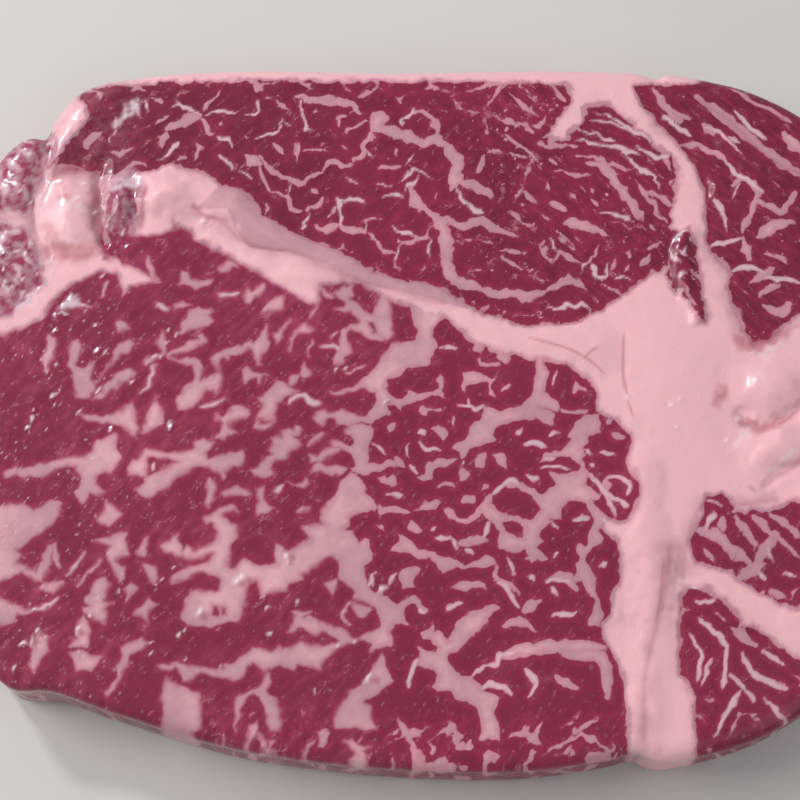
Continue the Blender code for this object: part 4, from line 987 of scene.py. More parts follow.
@dataclass(frozen=True)
class Marbling:
    """Works out where the steak is lean and where it is fat, how wet and how dark each place is, and where
    highlights and shade are painted on it.
    """

    muscles: tuple[Muscle, ...] = MUSCLES
    styles: dict[Region, Style] = field(default_factory=lambda: {
        Region.EYE: Style(0.12, 0.4, 0.22, 0.05, 1.6),
        Region.CAP: Style(0.35, 0.6, 0.4, -0.42, 1.2),
        Region.END: Style(0.25, 0.4, 0.4, 0.0, 1.2),
        Region.LOWER: Style(0.3, 0.4, 0.4, 0.0, 1.6),
        Region.TIPS: Style(0.5, 0.5, 0.6, 0.1, 1.0),
    })
    warp: float = 0.5
    clear_reach: float = 2.6
    thinnest: float = 1.25
    far: float = 9.0
    deepest: float = 6.0
    soft_kinks: float = 0.8
    drop_kinks: float = 0.6
    drift: Grain = Grain(24, 179, 2)
    teeth: Grain = Grain(2.6, 178, 2, 0.6, breadth=0.62)
    wobble: Grain = Grain(2.3, 171, 2)
    broad: Grain = Grain(22, 181, 2)
    mottling: Grain = Grain(7, 183)
    rising: Grain = Grain(4.4, 187, 2, breadth=1.5, turn=50)
    falling: Grain = Grain(3.6, 188, 3, breadth=0.9, turn=-42)
    speckles: Grain = Grain(1.8, 189, 3, 0.6)
    # Painted glints: the noise that places white flecks in the eye.
    glints: Grain = Grain(1.7, 192, 2, 0.6, breadth=0.7, turn=50)
    eye_flames: Flames = Flames()
    eye_blocks: CellNet = CellNet(
        (8.2, 6.4), 15, (61, 62, 66, 67, 71, 72), 7, (1.6, 5.5), (0.4, 1.3), 0.85, 0.3, (1.9, 7)
    )
    eye_flecks: Streaks = flecks(50, 0.68, 81)
    cap_net: CellNet = branching(-20, 7.5, 91)
    cap_lines: Streaks = fibrous(-44, 101)
    cap_flecks: Streaks = flecks(-40, 0.58, 111, 0.8)
    end_lines: Streaks = fibrous(-40, 121)
    end_flecks: Streaks = flecks(-40, 0.54, 131, 0.8)
    lower_net: CellNet = branching(-35, 6.5, 141)
    lower_flecks: Streaks = flecks(-30, 0.72, 151)
    tip_flecks: Streaks = flecks(20, 0.6, 161)

    def fibre_turn(self, x: Array, y: Array) -> Array:
        """The fibres' direction in degrees: steeply up to the right, but down to it in the far corner."""
        corner = rise(x + 1.4 * y, 55, 85)
        return 62 + 22 * self.drift.at(x, y) - 105 * corner

    def side(self, x: Array, y: Array) -> Array:
        """How far left of the eye's main channel a place lies, from 0 on its right to 1 on its left."""
        channel = np.array(EYE_CHANNEL[::-1])
        return rise(np.interp(y, channel[:, 1], channel[:, 0]) - x, -5, 9)

    def falls(self, x: Array, y: Array) -> Array:
        """How far the cap's fibres run down to the right: 1 at its right end."""
        return rise(x + 0.35 * y, 22, 38)

    def pattern(self, region: Region, x: Array, y: Array) -> Array:
        """The grown pattern of a region, before the listed shapes. The eye's flames are out of view."""
        if region is Region.EYE:
            hidden = rise(np.maximum(np.abs(x + 8) - 76, -58 - y), 0, 8)
            grown = np.minimum(self.eye_flames.field(x, y), self.eye_blocks.field(x, y)) + 3 * (1 - hidden)
            return np.minimum(grown, self.eye_flecks.field(x, y))
        if region is Region.CAP:
            level = self.cap_flecks.level - 0.14 * rise(x, 2, 10)
            grown = np.minimum(self.cap_net.field(x, y), self.cap_flecks.field(x, y, level))
            return np.minimum(grown, self.cap_lines.field(x, y) - 0.1 + 2.4 * (1 - self.falls(x, y)))
        if region is Region.END:
            return np.minimum(self.end_lines.field(x, y) + 0.12, self.end_flecks.field(x, y))
        if region is Region.LOWER:
            return np.minimum(self.lower_net.field(x, y), self.lower_flecks.field(x, y))
        return self.tip_flecks.field(x, y)

    def shaken(self, x: Array, y: Array, kinks: float) -> tuple[Array, Array]:
        """Places moved a little, in rounded waves and in straight kinks, so that borders look natural."""
        moved = []
        for place, seed in ((x, 173), (y, 183)):
            waves = self.warp * Grain(3.4, seed, 2).at(x, y)
            broad_steps = Noise.angular(x / 1.5, y / 1.5, seed + 4)
            fine_steps = Noise.angular(x / 0.8, y / 0.8, seed + 5)
            moved.append(place + waves + kinks * (broad_steps + 0.5 * fine_steps))
        return moved[0], moved[1]

    def placed(self, muscle: Muscle, x: Array, y: Array) -> tuple[Array, Array]:
        """Distance outside a muscle's placed fat, and distance inside its islands of lean."""
        style = self.styles[muscle.region]
        outside = np.full(x.shape, self.far)
        within = np.full(x.shape, -self.far)
        for vein in muscle.fat:
            close = near(x, y, vein.path, vein.width + 4)
            if len(close):
                gap = vein.distance(x[close], y[close]) - style.widening * min(1.0, vein.width / 2)
                outside[close] = np.minimum(outside[close], gap)
        for patch in muscle.patches:
            close = near(x, y, patch, 4)
            if len(close):
                gap = -area_distance(x[close], y[close], patch) - style.widening
                outside[close] = np.minimum(outside[close], gap)
        for island in muscle.islands:
            close = near(x, y, island, 2)
            if len(close):
                within[close] = np.maximum(within[close], area_distance(x[close], y[close], island))
        return outside, within

    def thin_lines(self, x: Array, y: Array) -> Array:
        """Distance outside the thinnest placed streaks, which look whiter than wide fat."""
        nearest = np.full(x.shape, self.far)
        for muscle in self.muscles:
            style = self.styles[muscle.region]
            for vein in muscle.fat:
                if vein.width > self.thinnest:
                    continue
                close = near(x, y, vein.path, vein.width + 2)
                if len(close):
                    moved_x, moved_y = self.shaken(x[close], y[close], style.kinks)
                    nearest[close] = np.minimum(nearest[close], vein.distance(moved_x, moved_y) + 0.15)
        return nearest

    def lean(self, x: Array, y: Array) -> tuple[Array, Array]:
        """The lean field and the region of each place.

        A muscle's field is the least of the distance inside its border, its grown pattern, and the distance
        outside its placed fat, and at least the distance inside its islands. The grown pattern is pushed back
        near placed fat, so that this stays clear. The whole field is that of the muscle whose border is
        deepest there.

        Args:
            x, y: the places.

        Returns:
            The field, in millimetres, and the number of each place's region.
        """
        meat = np.full(x.shape, -self.far)
        deepest = np.full(x.shape, -self.far)
        regions = np.full(x.shape, Region.FAT.value)
        wobble = self.wobble.at(x, y)
        teeth = self.teeth.at(x, y, self.fibre_turn(x, y))
        for muscle in self.muscles:
            found = near(x, y, muscle.border, 4)
            if not len(found):
                continue
            style = self.styles[muscle.region]
            px, py = x[found], y[found]
            moved_x, moved_y = self.shaken(px, py, style.kinks)
            shake = style.wobble * wobble[found] + style.teeth * teeth[found]
            depth = area_distance(moved_x, moved_y, muscle.border) + 0.7 * shake
            outside, within = self.placed(muscle, moved_x, moved_y)
            held_off = style.clearing * fade(np.maximum(outside, 0) / self.clear_reach)
            grown = self.pattern(muscle.region, px, py) + held_off
            inside = np.maximum(np.minimum(grown, outside), within) + 0.7 * shake
            higher = depth > deepest[found]
            meat[found] = np.where(higher, np.minimum(depth, inside), meat[found])
            deepest[found] = np.maximum(deepest[found], depth)
            regions[found] = np.where(higher & (depth > -0.6), muscle.region.value, regions[found])
        return np.clip(meat, -self.deepest, self.deepest), regions

    def ground(self, x: Array, y: Array) -> Ground:
        """What the finish starts from at each place."""
        lean, regions = self.lean(x, y)
        return Ground(
            x, y, lean, regions, side=self.side(x, y), far_left=rise(-x, 52, 78),
            knob=rise(-x, 60, 66) * rise(y, 34, 42), broad=self.broad.at(x, y),
            mottling=self.mottling.at(x, y), speckles=self.speckles.at(x, y),
        )

    def softness(self, ground: Ground) -> Array:
        """Half the width of a border between lean and fat, in mm: widest to the left and in the tips."""
        eye = 0.16 + ground.side * (0.34 + 0.3 * ground.mottling)
        return np.where(ground.within(Region.EYE), eye, np.where(ground.within(Region.TIPS), 0.45, 0.17))

    def tones(self, ground: Ground) -> tuple[Array, Array]:
        """The lean's tone, from -1, dark, to 1, light, and how far the fibres run down to the right."""
        eye, cap, end = (ground.within(region) for region in (Region.EYE, Region.CAP, Region.END))
        own = np.select(
            [eye, cap, end, ground.within(Region.TIPS)],
            [0.25 * ground.side, -0.35 - 0.2 * rise(-ground.x, 5, 35), -0.5, 0.6], -0.2,
        )
        falling = np.where(end, 1.0, np.where(cap, self.falls(ground.x, ground.y), 0))
        rising_fibres = self.rising.at(ground.x, ground.y)
        fibres = rising_fibres + (self.falling.at(ground.x, ground.y) - rising_fibres) * falling
        strength = np.where(eye, 0.2 + 0.5 * ground.side, 0.35 + 0.6 * falling)
        return own + 0.4 * ground.broad + 0.4 * ground.mottling + strength * fibres, falling

    def fat_tone(self, ground: Ground) -> Array:
        """The fat's tone, from -1, dark, to 1, light: light on the kernel, dark in muscles, and darker
        towards deep grooves as painted shade.
        """
        kernel = rise(area_distance(ground.x, ground.y, KERNEL), -4, 4)
        fold = rise(area_distance(ground.x, ground.y, SEAM_UPPER_LAYER), -0.3, 0.3)
        tone = 0.35 * kernel + 0.5 * ground.broad + 0.35 * ground.mottling - 0.6 * fold
        tone = tone - np.where(ground.within(Region.FAT), 0, 0.75) - 0.5 * ground.knob
        # Painted shade: the fat darkens towards each deep groove.
        for found, gap in self.groove_gaps(ground):
            tone[found] -= 0.45 * fade(gap / 3.6)
        return tone

    def groove_gaps(self, ground: Ground) -> list[tuple[Array, Array]]:
        """For each deep groove, the indices of the places near it, and their distances from its middle."""
        gaps = []
        for ridge in RIDGES:
            if ridge.height < -0.75:
                path = ridge.curve()
                found = near(ground.x, ground.y, path, 3.6)
                gaps.append((found, run_distance(ground.x[found], ground.y[found], path)))
        return gaps

    def wetness(self, ground: Ground) -> Array:
        """How wet each place is, from 0 to 1: more to the left, and most in the tips."""
        own = np.where(ground.within(Region.CAP), 0.12, 0.18)
        own = np.where(ground.within(Region.EYE), 0.1 + 0.4 * ground.side, own)
        own = own + 0.35 * ground.far_left + 0.25 * ground.mottling
        return np.where(ground.within(Region.TIPS), 0.9, own)

    def painted_shade_and_red_lines(self, ground: Ground) -> Array:
        """How far each place is painted dark red, from 0 to 1: painted shade in strokes and along the deep
        grooves, and thin red lines along creases.
        """
        shade_and_red_lines = 0.7 * brushed(SHADE_STROKES, *self.shaken(ground.x, ground.y, self.soft_kinks))
        # Painted shade along the middle of each deep groove.
        for found, gap in self.groove_gaps(ground):
            shade_and_red_lines[found] = np.maximum(shade_and_red_lines[found], 0.3 * fade(gap / 0.9))
        for line in RED_SHADE_LINES:
            found = near(ground.x, ground.y, line.path, 3)
            gap = line.distance(ground.x[found], ground.y[found])
            shade_and_red_lines[found] = np.maximum(shade_and_red_lines[found], 0.6 * fade(gap / 0.5 + 0.5))
        return shade_and_red_lines

    def painted_glints_and_thin_fat(self, ground: Ground) -> Array:
        """How white each place is, from 0 to 1: painted glints as speckles in the tips and flecks in the eye,
        painted sheen, and the whiter thin streaks of fat.
        """
        x, y = ground.x, ground.y
        # Painted highlights: white speckles in the tips, white flecks in the eye and sheen marks stand in for
        # glints on the wet surface. The thin streaks of fat are whiter in their own colour.
        speckle_glints = np.where(ground.within(Region.TIPS), 1, 0.15 * ground.knob)
        painted_glints_and_thin_fat = 0.4 * rise(ground.speckles, -0.35, 0.5) * speckle_glints
        glinting = np.where(ground.within(Region.EYE), 0.3 + 0.7 * ground.far_left, 0)
        painted_glints_and_thin_fat = painted_glints_and_thin_fat + 0.7 * rise(self.glints.at(x, y), 0.4, 0.7) * glinting
        sheen = brushed(SHEEN, *self.shaken(x, y, self.soft_kinks)) * rise(ground.speckles, -0.7, 0.1)
        painted_glints_and_thin_fat = np.maximum(painted_glints_and_thin_fat, np.where(ground.within(Region.FAT), 0.5, 0.85) * sheen)
        return np.maximum(painted_glints_and_thin_fat, 0.45 * fade(np.maximum(self.thin_lines(x, y) + 0.2, 0) / 0.35))

    def add_drops(self, ground: Ground, wet: Array, painted_glints_and_thin_fat: Array, shade_and_red_lines: Array) -> None:
        """Wets the places round each drop, paints a white glint across its middle, and paints a shaded pocket
        beside it in lean.
        """
        fat = ground.within(Region.FAT)
        for drop in DROPS:
            close = near(ground.x, ground.y, [drop.middle], 2 * drop.size)
            x, y = ground.x[close], ground.y[close]
            gap_x, gap_y = x - drop.middle[0], y - drop.middle[1]
            wet[close] = np.maximum(wet[close], fade(np.hypot(gap_x, gap_y) / (2 * drop.size)))
            # Painted highlight: a white streak across the drop's middle.
            moved_x, moved_y = self.shaken(x, y, self.drop_kinks)
            away = (moved_x - drop.middle[0], moved_y - drop.middle[1])
            shine = np.hypot(*turned(*away, 55, 0.7 * drop.size, 0.34 * drop.size))
            painted_glints_and_thin_fat[close] = np.maximum(painted_glints_and_thin_fat[close], fade(shine))
            # Painted shade: a dark red pocket beside the drop, in lean only.
            shaded_pocket = np.hypot(gap_x - 0.7 * drop.size, gap_y + 0.35 * drop.size)
            depth = np.where(fat[close], 0.0, 0.7) * fade(shaded_pocket / (0.7 * drop.size))
            shade_and_red_lines[close] = np.maximum(shade_and_red_lines[close], depth)

    def marks(self, x: Array, y: Array) -> tuple[dict[str, Array], Array]:
        """What the finish needs at each place, and its region.

        Args:
            x, y: the places.

        Returns:
            Named values: lean and softness, in mm; tone and fat_tone, from -1 to 1; wet, the painted shade
                and thin red lines,
            the painted highlights and whiter thin fat, threads, and grain, 1 where the fibres run down to the
            right, from 0 to 1. Then the regions.
        """
        ground = self.ground(x, y)
        tone, grain = self.tones(ground)
        wet, shade_and_red_lines, painted_glints_and_thin_fat = self.wetness(ground), self.painted_shade_and_red_lines(ground), self.painted_glints_and_thin_fat(ground)
        self.add_drops(ground, wet, painted_glints_and_thin_fat, shade_and_red_lines)
        kinds = [ground.within(region) for region in (Region.EYE, Region.CAP, Region.FAT)]
        named = {
            "lean": ground.lean, "softness": self.softness(ground), "tone": np.clip(tone, -1, 1),
            "fat_tone": np.clip(self.fat_tone(ground), -1, 1), "wet": np.clip(wet, 0, 1), "shade_and_red_lines": shade_and_red_lines,
            "grain": grain, "painted_glints_and_thin_fat": np.clip(painted_glints_and_thin_fat, 0, 1),
            "threads": np.select(kinds, [0.3 + 0.3 * ground.side, 0.8, 0.0], 0.6),
        }
        return named, ground.regions


# The whole skin as numbers

@dataclass
class Skin:
    """Every vertex and triangle of the slab's skin, and what the finish needs at each vertex."""

    places: Array
    triangles: Array
    labels: Array
    marks: dict[str, Array]

    def normals(self) -> Array:
        """The unit normal at each vertex: the sum of its triangles' cross products, made one long."""
        a, b, c = (self.places[self.triangles[:, k]] for k in range(3))
        cross = np.cross(b - a, c - a)
        total = np.zeros_like(self.places)
        for axis in range(3):
            for corner in range(3):
                total[:, axis] += np.bincount(self.triangles[:, corner], cross[:, axis], len(self.places))
        return total / np.maximum(np.linalg.norm(total, axis=1, keepdims=True), 1e-12)


def grid_triangles(index: Array) -> Array:
    """Two triangles for each square of a grid of vertex numbers, anticlockwise where both numbers rise."""
    a, b, c, d = index[:-1, :-1], index[:-1, 1:], index[1:, 1:], index[1:, :-1]
    first = np.stack([a, b, c], axis=-1).reshape(-1, 3)
    second = np.stack([a, c, d], axis=-1).reshape(-1, 3)
    return np.concatenate([first, second])


def stretched_patch(ring: Array, columns: int, rows: int) -> Array:
    """A grid stretched between the four arcs of a closed ring.

    Each place is the blend of the lower and upper arcs, plus the blend of the left and right arcs, less the
    blend of the four corners, so that the grid's border is the ring itself.

    Args:
        ring: the ring's places, anticlockwise from the lower left corner.
        columns, rows: how many places the grid has each way.

    Returns:
        The places, as rows of columns.
    """
    lower = ring[:columns]
    right = ring[columns - 1:columns + rows - 1]
    upper = ring[columns + rows - 2:2 * columns + rows - 2][::-1]
    left = np.concatenate([ring[2 * columns + rows - 3:], ring[:1]])[::-1]
    u = np.linspace(0, 1, columns)[None, :, None]
    v = np.linspace(0, 1, rows)[:, None, None]
    corners = (
        (1 - u) * (1 - v) * lower[0] + u * (1 - v) * lower[-1] + (1 - u) * v * upper[0] + u * v * upper[-1]
    )
    return (1 - v) * lower[None] + v * upper[None] + (1 - u) * left[:, None] + u * right[:, None] - corners


def ring_of(index: Array) -> Array:
    """The vertex numbers round a grid's border, anticlockwise from its lower left corner."""
    return np.concatenate([index[0, :-1], index[:-1, -1], index[-1, :0:-1], index[:0:-1, 0]])


def spaced(path: Array, run: Array, count: int, whole: bool) -> Array:
    """A path's places at count even steps along its run, with its last place or without."""
    travelled = np.concatenate([[0], np.cumsum(np.hypot(*np.diff(run, axis=0).T))])
    wanted = np.linspace(0, travelled[-1], count, endpoint=whole)
    return np.stack([np.interp(wanted, travelled, column) for column in path.T], axis=1)


@dataclass(frozen=True)
class Slab:
    """The slab of meat: its size, its fine net and its relief, in millimetres.

    Corners are where the net's four arcs meet. Profile is the wall from the rim down: for each place, how
    far in from the outline it lies, what share of the rim's height it has, and what is added to that.
    """

    length: float
    width: float
    thickness: float
    rim_reach: float = 4.0
    rim_drop: float = 2.6
    top_inset: float = 1.0
    underside_inset: float = 3.2
    columns: int = 561
    rows: int = 361
    wall_rows: int = 52
    slant: float = 0.3
    groove_share: float = 0.42
    deepest_groove: float = 1.6
    narrow: float = 3.0
    waviness: float = 1.3
    waves: tuple[Grain, Grain] = (Grain(5, 207, 2), Grain(5, 208, 2))
    broad_unevenness: Grain = Grain(6.5, 201, 2)
    fine_unevenness: Grain = Grain(2.4, 206, 2)
    fat_step: float = 0.07
    bead_cell: float = 1.7
    wall_unevenness: float = 0.55
    middle_of_eye: float = -22.0
    corners: tuple[Point, ...] = ((-88, -54), (80, -54), (82, 57), (-89, 56))
    profile: tuple[Place, ...] = (
        (1.0, 1, -0.88), (0.55, 1, -1.28), (0.22, 1, -1.75), (0.05, 1, -2.5), (0.0, 1, -4.5),
        (0.35, 0.5, 2.2), (0.15, 0, 5.5), (0.75, 0, 1.4), (1.55, 0, 0.3), (2.6, 0, 0.0),
    )

    def outline(self) -> Array:
        """The closed outline, fitted to the box, in evenly spaced places between its four corners."""
        curve = smooth_curve(OUTLINE, closed=True, steps=40)
        low, high = curve.min(axis=0), curve.max(axis=0)
        curve = (curve - (low + high) / 2) * np.array([self.length, self.width]) / (high - low)
        starts = [int(np.argmin(np.hypot(*(curve - np.array(corner)).T))) for corner in self.corners]
        curve = np.roll(curve, -starts[0], axis=0)
        starts = [(start - starts[0]) % len(curve) for start in starts] + [len(curve)]
        closed = np.concatenate([curve, curve[:1]])
        arcs = []
        for side, (start, end) in enumerate(zip(starts[:-1], starts[1:])):
            run = closed[start:end + 1]
            arcs.append(spaced(run, run, (self.rows if side % 2 else self.columns) - 1, whole=False))
        return np.concatenate(arcs)

    @staticmethod
    def inset(ring: Array, distance: float | Array) -> Array:
        """The ring moved inwards along its normals."""
        along = np.roll(ring, -3, axis=0) - np.roll(ring, 3, axis=0)
        along /= np.linalg.norm(along, axis=1, keepdims=True)
        return ring + np.stack([-along[:, 1], along[:, 0]], axis=1) * np.reshape(distance, (-1, 1))

    def rim_fall(self, distance: Array) -> Array:
        """How far the face has dropped at a distance in from the outline: a quarter of an ellipse."""
        out = 1 - np.clip(distance, 0, self.rim_reach) / self.rim_reach
        return self.rim_drop * (1 - np.sqrt(1 - out**2))

    def coarse_relief(self, x: Array, y: Array) -> Array:
        """The sum of the lumps, ridges and grooves that the solid has too.

        The places are first moved by up to about a millimetre, in waves, so that no groove runs straight. The
        narrow grooves are made shallower by a share, times the power 1.5 of their depth over the deepest's.

        Args:
            x, y: the places.

        Returns:
            The height at each place.
        """
        height = np.zeros(x.shape)
        x = x + self.waviness * self.waves[0].at(x, y)
        y = y + self.waviness * self.waves[1].at(x, y)
        for lump in LUMPS:
            lump.add_to(height, x, y)
        for ridge in RIDGES:
            if ridge.height < 0 and ridge.half_width < self.narrow:
                share = self.groove_share * (-ridge.height / self.deepest_groove) ** 1.5
                ridge = replace(ridge, height=ridge.height * share)
            ridge.add_to(height, x, y)
        return height

    def fine_relief(self, x: Array, y: Array, lean: Array, wet: Array) -> Array:
        """Fat stands a little proud of lean, and the wet surface is uneven at 1 to 3 mm."""
        step = self.fat_step * rise(-lean, -0.5, 0.5)
        waves = (0.10 + 0.12 * wet) * self.broad_unevenness.at(x, y)
        bumps = (0.01 + 0.05 * wet) * self.fine_unevenness.at(x, y)
        return step + waves + bumps + self.beads(x, y, wet)

    def beads(self, x: Array, y: Array, wet: Array) -> Array:
        """Small drops that catch the light: a tilted dome at each placed one, a low one in some cells."""
        height = np.zeros(x.shape)
        for drop in DROPS:
            close = near(x, y, [drop.middle], drop.size)
            gap_x, gap_y = x[close] - drop.middle[0], y[close] - drop.middle[1]
            dome = fade(np.hypot(gap_x, gap_y) / (0.8 * drop.size))
            height[close] += dome * (0.08 * drop.size + 0.16 * (gap_x - gap_y))
        a, b = x / self.bead_cell, y / self.bead_cell
        i, j = np.floor(a), np.floor(b)
        offset_x = a - i - 0.3 - 0.4 * Noise.chance(i, j, 221)
        offset_y = b - j - 0.3 - 0.4 * Noise.chance(i, j, 222)
        chosen = Noise.chance(i, j, 223) < 0.03 + 0.11 * wet
        size = 0.22 + 0.14 * Noise.chance(i, j, 224)
        return height + np.where(chosen, 0.12 * fade(np.hypot(offset_x, offset_y) / size), 0)

    def cut_face(self, outline: Array, patch: Array, marks: dict[str, Array]) -> tuple[Array, float]:
        """The cut face's vertices, and the height of its plain face.

        The height is the coarse relief, less the rim's fall, plus the fine relief. Its highest place is at
        the slab's thickness.

        Args:
            outline: the closed outline.
            patch: the face's grid in the plane, as rows of columns.
            marks: the marks at its places.

        Returns:
            The vertices, and the height that the relief is added to.
        """
        x, y = patch[..., 0].ravel(), patch[..., 1].ravel()
        edge = np.full(x.shape, self.rim_reach)
        rows, columns = np.divmod(np.arange(len(x)), self.columns)
        from_ends = np.minimum(rows, self.rows - 1 - rows)
        from_sides = np.minimum(columns, self.columns - 1 - columns)
        outer = np.flatnonzero(np.minimum(from_ends, from_sides) < 30)
        sparse = outline[::6]
        edge[outer] = run_distance(x[outer], y[outer], np.concatenate([sparse, sparse[:1]]))
        height = self.coarse_relief(x, y) - self.rim_fall(edge)
        height = height + self.fine_relief(x, y, marks["lean"], marks["wet"])
        plain = self.thickness - height.max()
        return np.column_stack([x, y, plain + height]), plain

    def wall(self, outline: Array, rim: Array, top_heights: Array) -> tuple[list[Array], list[Array]]:
        """The wall's rings below the cut face, and the places whose marks they take.

        Each ring is the outline moved in by the profile and by unevenness, greatest halfway down. Its height
        starts from the cut face's own, and turns to the profile's within twelve rows. Its marks are those of
        the cut face further in, the further the lower it lies, so that streaks run down the wall.

        Args:
            outline: the closed outline.
            rim: the height of the cut face at the outline, before the rim's fall.
            top_heights: the heights of the cut face's border.

        Returns:
            The rings' vertices, and the places in the plane.
        """
        profile = smooth_curve(self.profile, closed=False, steps=12)
        run = np.stack([profile[:, 0], self.thickness * profile[:, 1] + profile[:, 2]], axis=1)
        profile = spaced(profile, run, self.wall_rows, whole=True)
        first_gap = top_heights - (rim * profile[0, 1] + profile[0, 2])
        rings, samples = [], []
        for row, (inset, share, base) in enumerate(profile[1:], start=1):
            level = np.clip(rim * share + base + first_gap * fade(np.array(row / 12)), 0, None)
            across, down = outline[:, 0] / 3.1 + level / 6.5, outline[:, 1] / 3.1 - level / 5.1
            unevenness = 0.5 + 0.5 * Noise.layered(across, down, 211)
            strength = float(fade(np.array(abs(2 * row / self.wall_rows - 1)) ** 3)) * self.wall_unevenness
            rings.append(np.column_stack([self.inset(outline, inset + unevenness * strength), level]))
            further_in = self.slant * (rim - level) * min(1.0, row / 6)
            samples.append(self.inset(outline, self.top_inset + further_in))
        return rings, samples

    def skin(self, marbling: Marbling) -> Skin:
        """The whole skin: the top grid, the wall's rings, the band to half the fineness, and the underside.

        Args:
            marbling: what says where the meat is lean, and how it looks.

        Returns:
            The skin, whose labels are a region's number on top, and a part's elsewhere.
        """
        outline = self.outline()
        patch = stretched_patch(self.inset(outline, self.top_inset), self.columns, self.rows)
        marks, regions = marbling.marks(patch[..., 0].ravel(), patch[..., 1].ravel())
        top, plain = self.cut_face(outline, patch, marks)
        top_index = np.arange(len(top)).reshape(self.rows, self.columns)
        top_triangles = grid_triangles(top_index)
        top_ring = ring_of(top_index)
        log.info("cut face: plain face at %.2f mm, %d triangles", plain, len(top_triangles))

        rim = plain + self.coarse_relief(*outline.T)
        rings, samples = self.wall(outline, rim, top[top_ring, 2])
        count = len(outline)
        ring_index = len(top) + np.arange(len(rings) * count).reshape(len(rings), count)
        wall_index = np.concatenate([top_ring[None], ring_index])
        closed_index = np.concatenate([wall_index, wall_index[:, :1]], axis=1)
        wall_triangles = grid_triangles(closed_index[::-1])
        arc_lengths = [self.columns - 1, self.rows - 1, self.columns - 1, self.rows - 1]
        side_labels = Part.NEAR_SIDE.value + np.repeat(np.arange(4), arc_lengths)

        low_columns, low_rows = (self.columns + 1) // 2, (self.rows + 1) // 2
        low_ring = self.inset(outline, self.underside_inset)[::2]
        low_places = stretched_patch(low_ring, low_columns, low_rows).reshape(-1, 2)
        low = np.column_stack([low_places, np.zeros(len(low_places))])
        low_samples = stretched_patch(samples[-1][::2], low_columns, low_rows).reshape(-1, 2)
        middle = rise(np.minimum(70 - np.abs(low[:, 1]), 92 - np.abs(low[:, 0])), 5, 30)[:, None]
        low_index = len(top) + ring_index.size + np.arange(len(low)).reshape(low_rows, low_columns)
        band_triangles = self.stitch(ring_index[-1], ring_of(low_index))
        low_triangles = grid_triangles(low_index)[:, ::-1]

        hidden = np.concatenate([*samples, low_samples + middle * np.array([3.0, -4.0])])
        hidden_marks, _ = marbling.marks(hidden[:, 0], hidden[:, 1])
        labels = np.concatenate([
            self.top_labels(regions, top_triangles, top), np.tile(side_labels, 2 * len(rings)),
            np.full(len(band_triangles) + len(low_triangles), Part.UNDERSIDE.value),
        ])
        return Skin(
            np.concatenate([top, *rings, low]),
            np.concatenate([top_triangles, wall_triangles, band_triangles, low_triangles]), labels,
            {name: np.concatenate([values, hidden_marks[name]]) for name, values in marks.items()},
        )

    @staticmethod
    def stitch(fine: Array, coarse: Array) -> Array:
        """Three triangles for each coarse step, from a ring to one inside it with half as many vertices."""
        even, odd, later = fine[::2], fine[1::2], np.roll(fine[::2], -1)
        following = np.roll(coarse, -1)
        parts = ((even, odd, coarse), (odd, later, following), (odd, following, coarse))
        return np.concatenate([np.stack(part, axis=1) for part in parts])[:, ::-1]

    def top_labels(self, regions: Array, triangles: Array, top: Array) -> Array:
        """The region of each triangle on the cut face. The eye muscle's right half gets its own label."""
        labels = regions[triangles[:, 0]].copy()
        right = top[triangles[:, 0], 0] > self.middle_of_eye
        labels[(labels == Region.EYE.value) & right] = Part.INNER_EYE.value
        return labels


# Node trees

def operator(operation: str, reflected: bool = False) -> Callable[["Wire", Any], "Wire"]:
    """A method that joins a wire to a value or wire by a Math node, the wire second if reflected."""
    def joined(wire: "Wire", other: Any) -> "Wire":
        """Adds the node."""
        first, second = (other, wire) if reflected else (wire, other)
        return wire.nodes.add("ShaderNodeMath", {"operation": operation}, {0: first, 1: second})
    return joined


class Wire:
    """A socket of a node tree. Sums of wires and numbers add their Math nodes."""

    def __init__(self, nodes: "Nodes", socket: bpy.types.NodeSocket) -> None:
        """Wraps one output socket."""
        self.nodes, self.socket = nodes, socket

    __add__, __radd__ = operator("ADD"), operator("ADD", reflected=True)
    __sub__, __rsub__ = operator("SUBTRACT"), operator("SUBTRACT", reflected=True)
    __mul__, __rmul__ = operator("MULTIPLY"), operator("MULTIPLY", reflected=True)
    __truediv__, __rtruediv__ = operator("DIVIDE"), operator("DIVIDE", reflected=True)

    def rise(self, low: float, high: float) -> "Wire":
        """0 below low, rising smoothly to 1 at high."""
        settings = {"interpolation_type": "SMOOTHSTEP"}
        return self.nodes.add("ShaderNodeMapRange", settings, {0: self, 1: low, 2: high, 3: 0.0, 4: 1.0})


